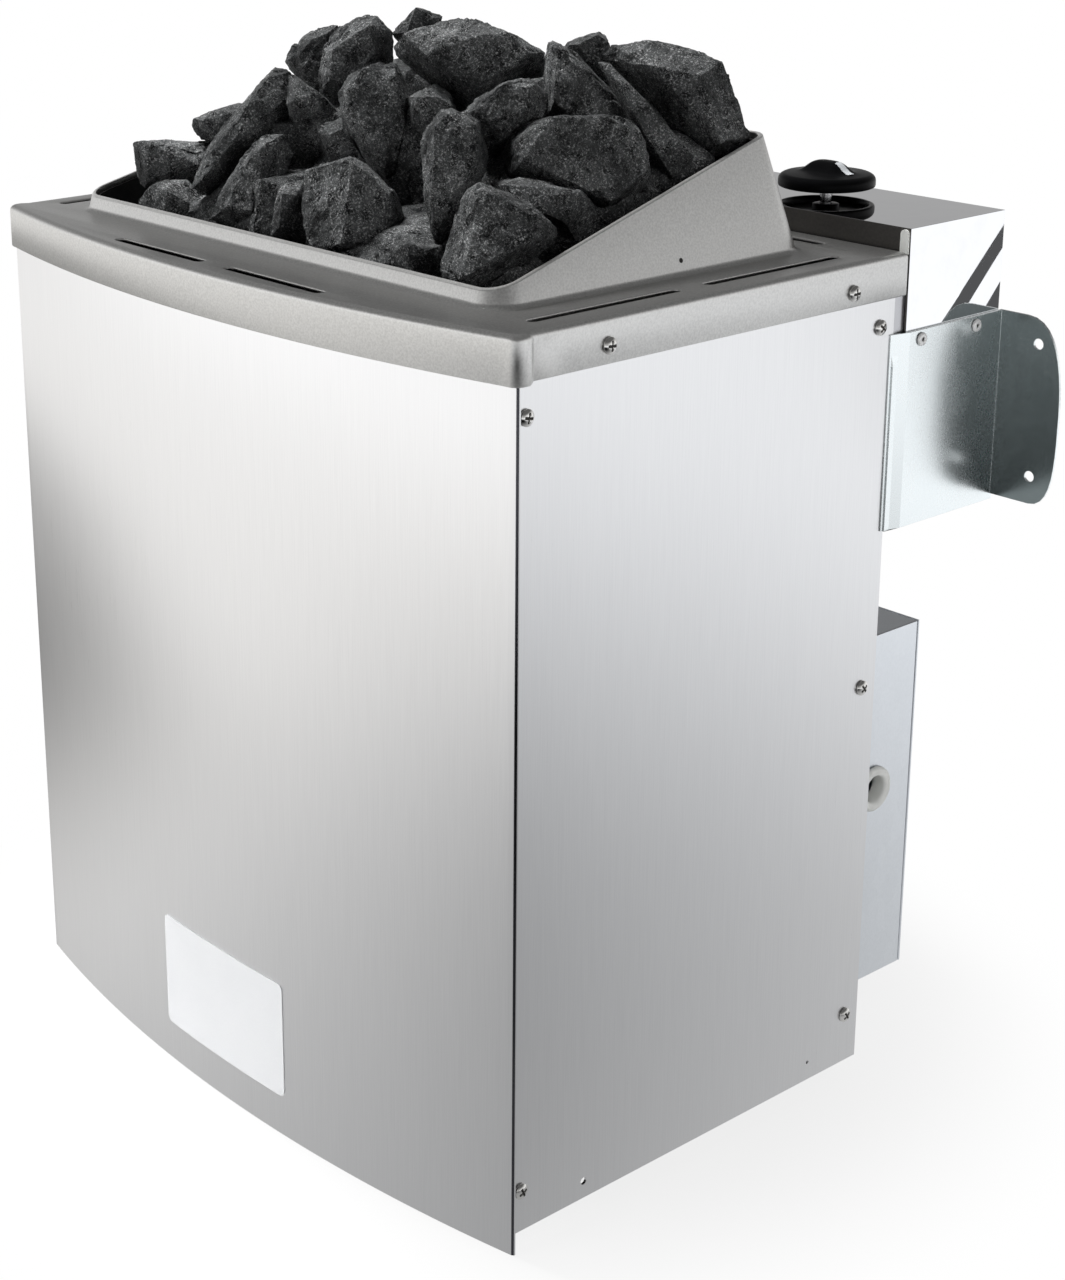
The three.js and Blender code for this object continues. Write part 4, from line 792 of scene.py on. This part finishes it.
# cable bush: a pale ring, round in front, with its nut inside the box
grommetShape = {"at": (186, 277.8, 154.5), "steps": 48}
grommetProfile = [(7.4, -5.8), (11.2, -5.8), (11.5, -5.5), (11.5, -1.9), (8.8, -1.8), (8.8, 0.2), (12.4, 0.3), (12.8, 0.7), (12.8, 1.2),
                  (12.5, 2.1), (11.7, 2.75), (10.7, 3.0), (9.4, 2.95), (8.3, 2.6), (7.6, 1.8), (7.4, 0.8), (7.4, -5.8)]


def makeGrommet():
    bm = bmesh.new()
    unit = drawing["unit"]
    turn = Matrix.Translation(place(*grommetShape["at"])) @ Matrix.Rotation(math.pi / 2, 4, "Y")
    lathe(bm, [(r * unit, h * unit) for r, h in grommetProfile], grommetShape["steps"], turn)
    bmesh.ops.remove_doubles(bm, verts=bm.verts, dist=1e-7)
    pieceFrom("cable_bush", bm, "creamPlastic", "cream_plastic", ("cable_grommet",), smooth=40)


makeGrommet()
print("brackets and connection box done")


# screws and rivets, lying along X with their heads out
screwShape = {"radius": 4.0, "height": 2.4, "shank": 1.8, "length": 8, "steps": 40, "cross": 2.5, "crossWide": 0.66, "crossDepth": 1.35, "crossShadeDrop": 0.5}
rivetShape = {"radius": 3.5, "height": 1.3, "shank": 1.6, "length": 7, "core": 1.05, "steps": 36}


def headTurn(node, flush):
    # the node's own place and side, with its outward axis along local Z
    low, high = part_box(node)
    side = 1 if low[0] + high[0] > 0 else -1
    middle = [(a + b) / 2 for a, b in zip(low, high)]
    face = (high[0] if side > 0 else low[0]) - side * flush * drawing["unit"]
    return Matrix.Translation((face, middle[1], middle[2])) @ Matrix.Rotation(side * math.pi / 2, 4, "Y"), middle


def makeScrew(node):
    s, unit = screwShape, drawing["unit"]
    turn, middle = headTurn(node, s["height"])
    turn = turn @ Matrix.Rotation((middle[1] * 37 + middle[2] * 53) % 1 * math.pi, 4, "Z")
    bm = bmesh.new()
    steps = s["steps"]

    def dome(r):
        return s["height"] * (1 - 0.62 * (r / s["radius"]) ** 2.6)

    def sunk(x, y):
        # depth of the cross recess, with sloping sides
        arm = min(max(abs(x) - s["cross"], abs(y) - s["crossWide"]), max(abs(y) - s["cross"], abs(x) - s["crossWide"]))
        return s["crossDepth"] * min(1.0, max(0.0, -arm / 0.45))

    radii = [0.28 * k for k in range(1, 13)] + [3.6, 3.8, 3.93]
    rings = []
    for r in reversed(radii):
        ring = []
        for k in range(steps):
            a = 2 * math.pi * k / steps
            x, y = r * math.cos(a), r * math.sin(a)
            ring.append(turn @ (Vector((x, y, dome(r) - sunk(x, y))) * unit))
        rings.append(ring)
    under = [(s["shank"], -s["length"]), (s["shank"], 0), (s["radius"] - 0.15, 0), (s["radius"], 0.2), (s["radius"], 0.75)]
    lower = [[turn @ (Vector((r * math.cos(2 * math.pi * k / steps), r * math.sin(2 * math.pi * k / steps), h)) * unit) for k in range(steps)] for r, h in under]
    rows = skinRings(bm, lower + rings)
    tip = bm.verts.new(turn @ (Vector((0, 0, dome(0) - s["crossDepth"])) * unit))
    for k in range(steps):
        bm.faces.new((rows[-1][k], rows[-1][(k + 1) % steps], tip))
    bm.faces.new(rows[0])
    pieceFrom(node + "_head", bm, "fastenerNickel", "nickel_fasteners", (node,), smooth=38)
    # painted shade: a dark cross laid in the bottom of the recess
    bm = bmesh.new()
    wide, long, deep = s["crossWide"] - 0.16, s["cross"] - 0.15, s["height"] - s["crossShadeDrop"]
    arms = [(wide, wide), (wide, long), (-wide, long), (-wide, wide), (-long, wide), (-long, -wide),
            (-wide, -wide), (-wide, -long), (wide, -long), (wide, -wide), (long, -wide), (long, wide)]
    bm.faces.new([bm.verts.new(turn @ (Vector((x, y, deep)) * unit)) for x, y in arms])
    pieceFrom(node + "_cross", bm, "paintedRecessShade", "nickel_fasteners")


def makeRivet(node):
    s, unit = rivetShape, drawing["unit"]
    turn, _ = headTurn(node, s["height"])
    bm = bmesh.new()
    profile = [(s["shank"], -s["length"]), (s["shank"], 0), (s["radius"] - 0.1, 0)]
    for k in range(7):
        a = math.pi / 2 * k / 6
        profile.append((s["core"] + 0.35 + (s["radius"] - s["core"] - 0.35) * math.cos(a) ** 0.75, 0.15 + (s["height"] - 0.15) * math.sin(a)))
    profile += [(s["core"] + 0.12, s["height"] - 0.1), (s["core"], s["height"] - 0.35), (s["core"] * 0.9, s["height"] - 1.0)]
    rows = lathe(bm, [(r * unit, h * unit) for r, h in profile], s["steps"], turn)
    bm.faces.new(rows[0])
    bm.faces.new(rows[-1])
    pieceFrom(node + "_head", bm, "rivetWhite", "nickel_fasteners", (node,), smooth=45)
    # painted shade: a dark disc deep in the rivet's hole
    bm = bmesh.new()
    rows = lathe(bm, [(s["core"] * f * unit, h * unit) for f, h in ((0.95, s["height"] - 0.75), (0.8, s["height"] - 0.68), (0.3, s["height"] - 0.62))], s["steps"] // 2, turn)
    bm.faces.new(rows[-1])
    pieceFrom(node + "_core", bm, "paintedRecessShade", "nickel_fasteners")


for node in sorted(cadNodes):
    if "_screw_" in node:
        makeScrew(node)
    elif node.startswith("rivet_"):
        makeRivet(node)
print("fasteners done")


# blank label, stuck on the bow of the front panel
labelShape = {"half": 52.5, "bottom": 23, "top": 88, "corner": 3.5, "gap": 0.1, "thick": 0.3, "steps": 7, "along": 24}


def makeLabel():
    s = labelShape
    bm = bmesh.new()
    outline = []
    corners = [(s["half"] - s["corner"], s["top"] - s["corner"]), (s["corner"] - s["half"], s["top"] - s["corner"]),
               (s["corner"] - s["half"], s["bottom"] + s["corner"]), (s["half"] - s["corner"], s["bottom"] + s["corner"])]
    for index, (x, z) in enumerate(corners):
        for k in range(s["steps"] + 1):
            a = (index + k / s["steps"]) * math.pi / 2
            outline.append((x + s["corner"] * math.cos(a), z + s["corner"] * math.sin(a)))
        if index % 2 == 0:  # the long edges have points enough to follow the bow
            x0, z0 = outline[-1]
            outline += [(x0 - 2 * x0 * k / s["along"], z0) for k in range(1, s["along"])]
    middle = (s["top"] + s["bottom"]) / 2
    rings = []
    for share in (1.0, 0.9, 0.75, 0.6, 0.45, 0.3, 0.15):
        rings.append([(x * share, middle + (z - middle) * share) for x, z in outline])
    lift = s["gap"] + s["thick"]
    skin = [[place(x, bowY(x, s["gap"]), z) for x, z in rings[0]], [place(x, bowY(x, lift - 0.08), z) for x, z in rings[0]]]
    skin += [[place(x, bowY(x, lift), z) for x, z in ring] for ring in rings]
    rows = skinRings(bm, skin)
    bm.faces.new(rows[-1])
    pieceFrom("blankLabel", bm, "labelPaper", "label_paper", ("front_label",), smooth=40)


makeLabel()
print("label done")


# compartment, floor and heating elements
for node, finish, slotName in (("stone_compartment", "blackSteel", "black_steel"), ("stone_floor", "blackSteel", "black_steel")):
    foldedCopy(node, finish, slotName, fold=0.0003, segments=2)
for index in (1, 2, 3):
    foldedCopy("heating_element_%d" % index, "elementSteel", "element_steel", fold=0, smooth=60)
print("compartment and elements done")


# stones: each node's own rock, broken into a few flat faces, each face rough
stoneLook = {"voxel": 0.0016, "share": 0.008, "levels": 4, "chips": ((55, 0.06), (150, 0.09)), "grit": (0.0004, 420)}
rockSeed = 7  # fixes the way the breaks tip
bedLook = {"voxel": 0.0022, "share": 0.012, "levels": 3, "chips": ((70, 0.06),), "grit": (0.0004, 420)}


def chipAt(p, fine, slope):
    # small flat breaks: inside each cell the face tips its own way
    spot = p * fine
    cell = noise.voronoi(spot)[1][0]
    return (spot - cell).dot(noise.noise_vector(cell * 3.7).normalized()) * slope / fine


def roughRock(node, look, seed):
    source = bpy.data.objects.new("rockSource", cadNodes[node].data.copy())
    scene.collection.objects.link(source)
    remesh = source.modifiers.new("voxels", "REMESH")
    remesh.mode, remesh.voxel_size = "VOXEL", look["voxel"]
    breaks = source.modifiers.new("breaks", "DECIMATE")
    breaks.ratio = look["share"]
    fine = source.modifiers.new("fine", "SUBSURF")
    fine.subdivision_type, fine.levels = "SIMPLE", look["levels"]
    mesh = bakedMesh(node + "_rock", source)
    bpy.data.objects.remove(source)
    shift = Vector((seed * 1.7, seed * 0.9, seed * 2.3))
    normals = [v.normal.copy() for v in mesh.vertices]
    for vertex, normal in zip(mesh.vertices, normals):
        p = vertex.co
        lift = noise.noise(p * look["grit"][1] + shift) * look["grit"][0]
        for fine, slope in look["chips"]:
            lift += chipAt(p + shift, fine, slope)
        vertex.co = p + normal * lift
    mesh.update()
    return finishPiece(node + "_rock", mesh, "rock", "rock", (node,), smooth=32)


noise.seed_set(rockSeed)
for index in range(1, 17):
    roughRock("stone_%d" % index, stoneLook, index)
roughRock("stone_bed", bedLook, 29)
print("stones done")


# floor: white to the camera with the object's shadow on it; what metal sees in it dims towards the camera,
# towards the dark corner of the room, beside the object, and past the far edge of the paper
floorLook = {
    "half": 12, "colour": (0.86, 0.86, 0.86), "veil": ((0.2, 0.82), (0.36, 1.0)), "level": 1.02,
    "warm": (1.0, 0.99, 0.97), "cool": (1.045, 1.06, 1.08), "tintSpan": (-0.4, 0.5),
    "shades": ({"at": (0.80, -0.46), "span": (0, 1.57), "left": 0.0}, {"at": (1.05, -1.0), "span": (0.25, 1.1), "left": 0.04},
               {"at": (-1.2, 0.25), "span": (0.55, 1.12), "left": 0.35}, {"at": (-0.63, -0.2), "span": (0, 0.5), "left": 0.62},
               {"at": (-0.1, -1.6), "span": (0.2, 1.25), "left": 0.8}),
    "paper": {"at": (1.29, 1.58, 0), "across": (0.868, -0.496, 0), "along": (0.496, 0.868, 0), "from": -0.1,
              "band": 0.019, "strip": 0.024, "reach": 0.3, "left": 0.085},
}
lamps = {
    "top": {"at": (-0.85, -0.22, 2.15), "aim": (0, 0, 0.4), "size": (0.5, 0.5), "power": 74},
    "front": {"at": (-0.7, -2.2, 0.8), "aim": (0, 0, 0.25), "size": (1.4, 1.2), "power": 15},
    "right": {"at": (2.1, -0.1, 1.4), "aim": (0, 0, 0.4), "size": (0.7, 0.8), "power": 14},
}


def smoothRange(tree, value, low, high, toLow, toHigh):
    return addNode(tree, "ShaderNodeMapRange", {"interpolation_type": "SMOOTHSTEP"}, {
        "Value": value, "From Min": low, "From Max": high, "To Min": toLow, "To Max": toHigh}).outputs[0]


def floorLevel(tree, point):
    # how bright a reflecting surface sees each place of the floor
    level = floorLook["level"]
    for shade in floorLook["shades"]:
        gap = addNode(tree, "ShaderNodeVectorMath", {"operation": "DISTANCE"}, {0: point, 1: (*shade["at"], 0)}).outputs["Value"]
        level = mathOf(tree, "MULTIPLY", level, smoothRange(tree, gap, *shade["span"], shade["left"], 1.0))
    paper = floorLook["paper"]
    offset = addNode(tree, "ShaderNodeVectorMath", {"operation": "SUBTRACT"}, {0: point, 1: paper["at"]}).outputs[0]
    past = addNode(tree, "ShaderNodeVectorMath", {"operation": "DOT_PRODUCT"}, {0: offset, 1: paper["across"]}).outputs["Value"]
    middle = mathOf(tree, "ABSOLUTE", mathOf(tree, "ADD", past, paper["band"] / 2))
    band = mathOf(tree, "LESS_THAN", middle, paper["band"] / 2)
    outer = (paper["band"] + paper["strip"] + paper["reach"]) / 2
    beyond = mathOf(tree, "ABSOLUTE", mathOf(tree, "ADD", past, outer))
    beyond = mathOf(tree, "LESS_THAN", beyond, (paper["reach"] - paper["band"] - paper["strip"]) / 2)
    along = addNode(tree, "ShaderNodeVectorMath", {"operation": "DOT_PRODUCT"}, {0: offset, 1: paper["along"]}).outputs["Value"]
    dark = mathOf(tree, "MULTIPLY", mathOf(tree, "MAXIMUM", band, beyond), mathOf(tree, "GREATER_THAN", along, paper["from"]))
    lit = rangeOf(tree, dark, 0.0, 1.0, 1.0, paper["left"])
    return mathOf(tree, "MULTIPLY", level, lit)


def makeFloor():
    bm = bmesh.new()
    half = floorLook["half"]
    bm.faces.new([bm.verts.new((x * half, y * half, 0)) for x, y in ((-1, -1), (1, -1), (1, 1), (-1, 1))])
    mesh = bpy.data.meshes.new("floor")
    bm.to_mesh(mesh)
    bm.free()
    floor = bpy.data.objects.new("floor", mesh)
    scene.collection.objects.link(floor)
    material = bpy.data.materials.new("paleFloor")
    material.use_nodes = True
    tree = material.node_tree
    tree.nodes.remove(tree.nodes["Principled BSDF"])
    matt = addNode(tree, "ShaderNodeBsdfDiffuse", None, {"Color": (*floorLook["colour"], 1)})
    point = addNode(tree, "ShaderNodeNewGeometry").outputs["Position"]
    away = addNode(tree, "ShaderNodeVectorMath", {"operation": "LENGTH"}, {0: point}).outputs["Value"]
    path = addNode(tree, "ShaderNodeLightPath").outputs
    level = addNode(tree, "ShaderNodeMix", {"data_type": "FLOAT"}, {
        0: path["Is Glossy Ray"], 2: 1.0, 3: floorLevel(tree, point)}).outputs[0]
    across = addNode(tree, "ShaderNodeSeparateXYZ", None, {0: point}).outputs["X"]
    tint = blendColour(tree, rangeOf(tree, across, *floorLook["tintSpan"], 0.0, 1.0), floorLook["warm"], floorLook["cool"])
    tint = blendColour(tree, path["Is Glossy Ray"], (1, 1, 1), tint)
    glow = addNode(tree, "ShaderNodeEmission", None, {"Color": tint, "Strength": level})
    (near, thin), (far, full) = floorLook["veil"]
    veil = mathOf(tree, "MULTIPLY", path["Is Camera Ray"], smoothRange(tree, away, near, far, thin, full))
    share = mathOf(tree, "MAXIMUM", veil, path["Is Glossy Ray"])
    mix = addNode(tree, "ShaderNodeMixShader", None, {0: share, 1: matt.outputs[0], 2: glow.outputs[0]})
    tree.links.new(mix.outputs[0], tree.nodes["Material Output"].inputs["Surface"])
    mesh.materials.append(material)


def makeLamps():
    for name, lamp in lamps.items():
        data = bpy.data.lights.new(name + "Lamp", "AREA")
        data.shape = "RECTANGLE"
        data.size, data.size_y = lamp["size"]
        data.energy = lamp["power"]
        light = bpy.data.objects.new(name + "Lamp", data)
        light.location = lamp["at"]
        light.visible_glossy = False  # metal sees the room and the floor, not the lamps
        light.rotation_euler = (Vector(lamp["aim"]) - Vector(lamp["at"])).to_track_quat("-Z", "Y").to_euler()
        scene.collection.objects.link(light)


# room: even light, white to the camera; metal sees two pale and two dim corners round the horizon, and dark above
worldLook = {"light": 0.04, "camera": 1.0, "horizon": 0.02, "dim": (-0.3, 0.47), "bright": (0.3, 1.05), "high": (0.5, 0.13), "window": (-0.3, -0.6, 1.35)}


def makeWorld():
    world = bpy.data.worlds.new("paleRoom")
    scene.world = world
    world.use_nodes = True
    tree = world.node_tree
    path = addNode(tree, "ShaderNodeLightPath").outputs
    direction = addNode(tree, "ShaderNodeTexCoord").outputs["Generated"]
    parts = addNode(tree, "ShaderNodeSeparateXYZ", None, {0: direction}).outputs
    (first, dim), (last, bright), (high, dark) = worldLook["dim"], worldLook["bright"], worldLook["high"]
    low = rangeOf(tree, mathOf(tree, "MULTIPLY", parts["X"], parts["Y"]), first, last, dim, bright)
    start, full, gain = worldLook["window"]
    low = mathOf(tree, "MULTIPLY", low, rangeOf(tree, parts["Y"], start, full, 1.0, gain))
    seen = smoothRange(tree, parts["Z"], worldLook["horizon"], high, low, dark)
    level = addNode(tree, "ShaderNodeMix", {"data_type": "FLOAT"}, {0: path["Is Glossy Ray"], 2: worldLook["light"], 3: seen}).outputs[0]
    level = addNode(tree, "ShaderNodeMix", {"data_type": "FLOAT"}, {0: path["Is Camera Ray"], 2: level, 3: worldLook["camera"]}).outputs[0]
    ground = tree.nodes["Background"]
    ground.inputs["Color"].default_value = (1, 1, 1, 1)
    tree.links.new(level, ground.inputs["Strength"])


makeFloor()
makeLamps()
makeWorld()
print("floor and light done")
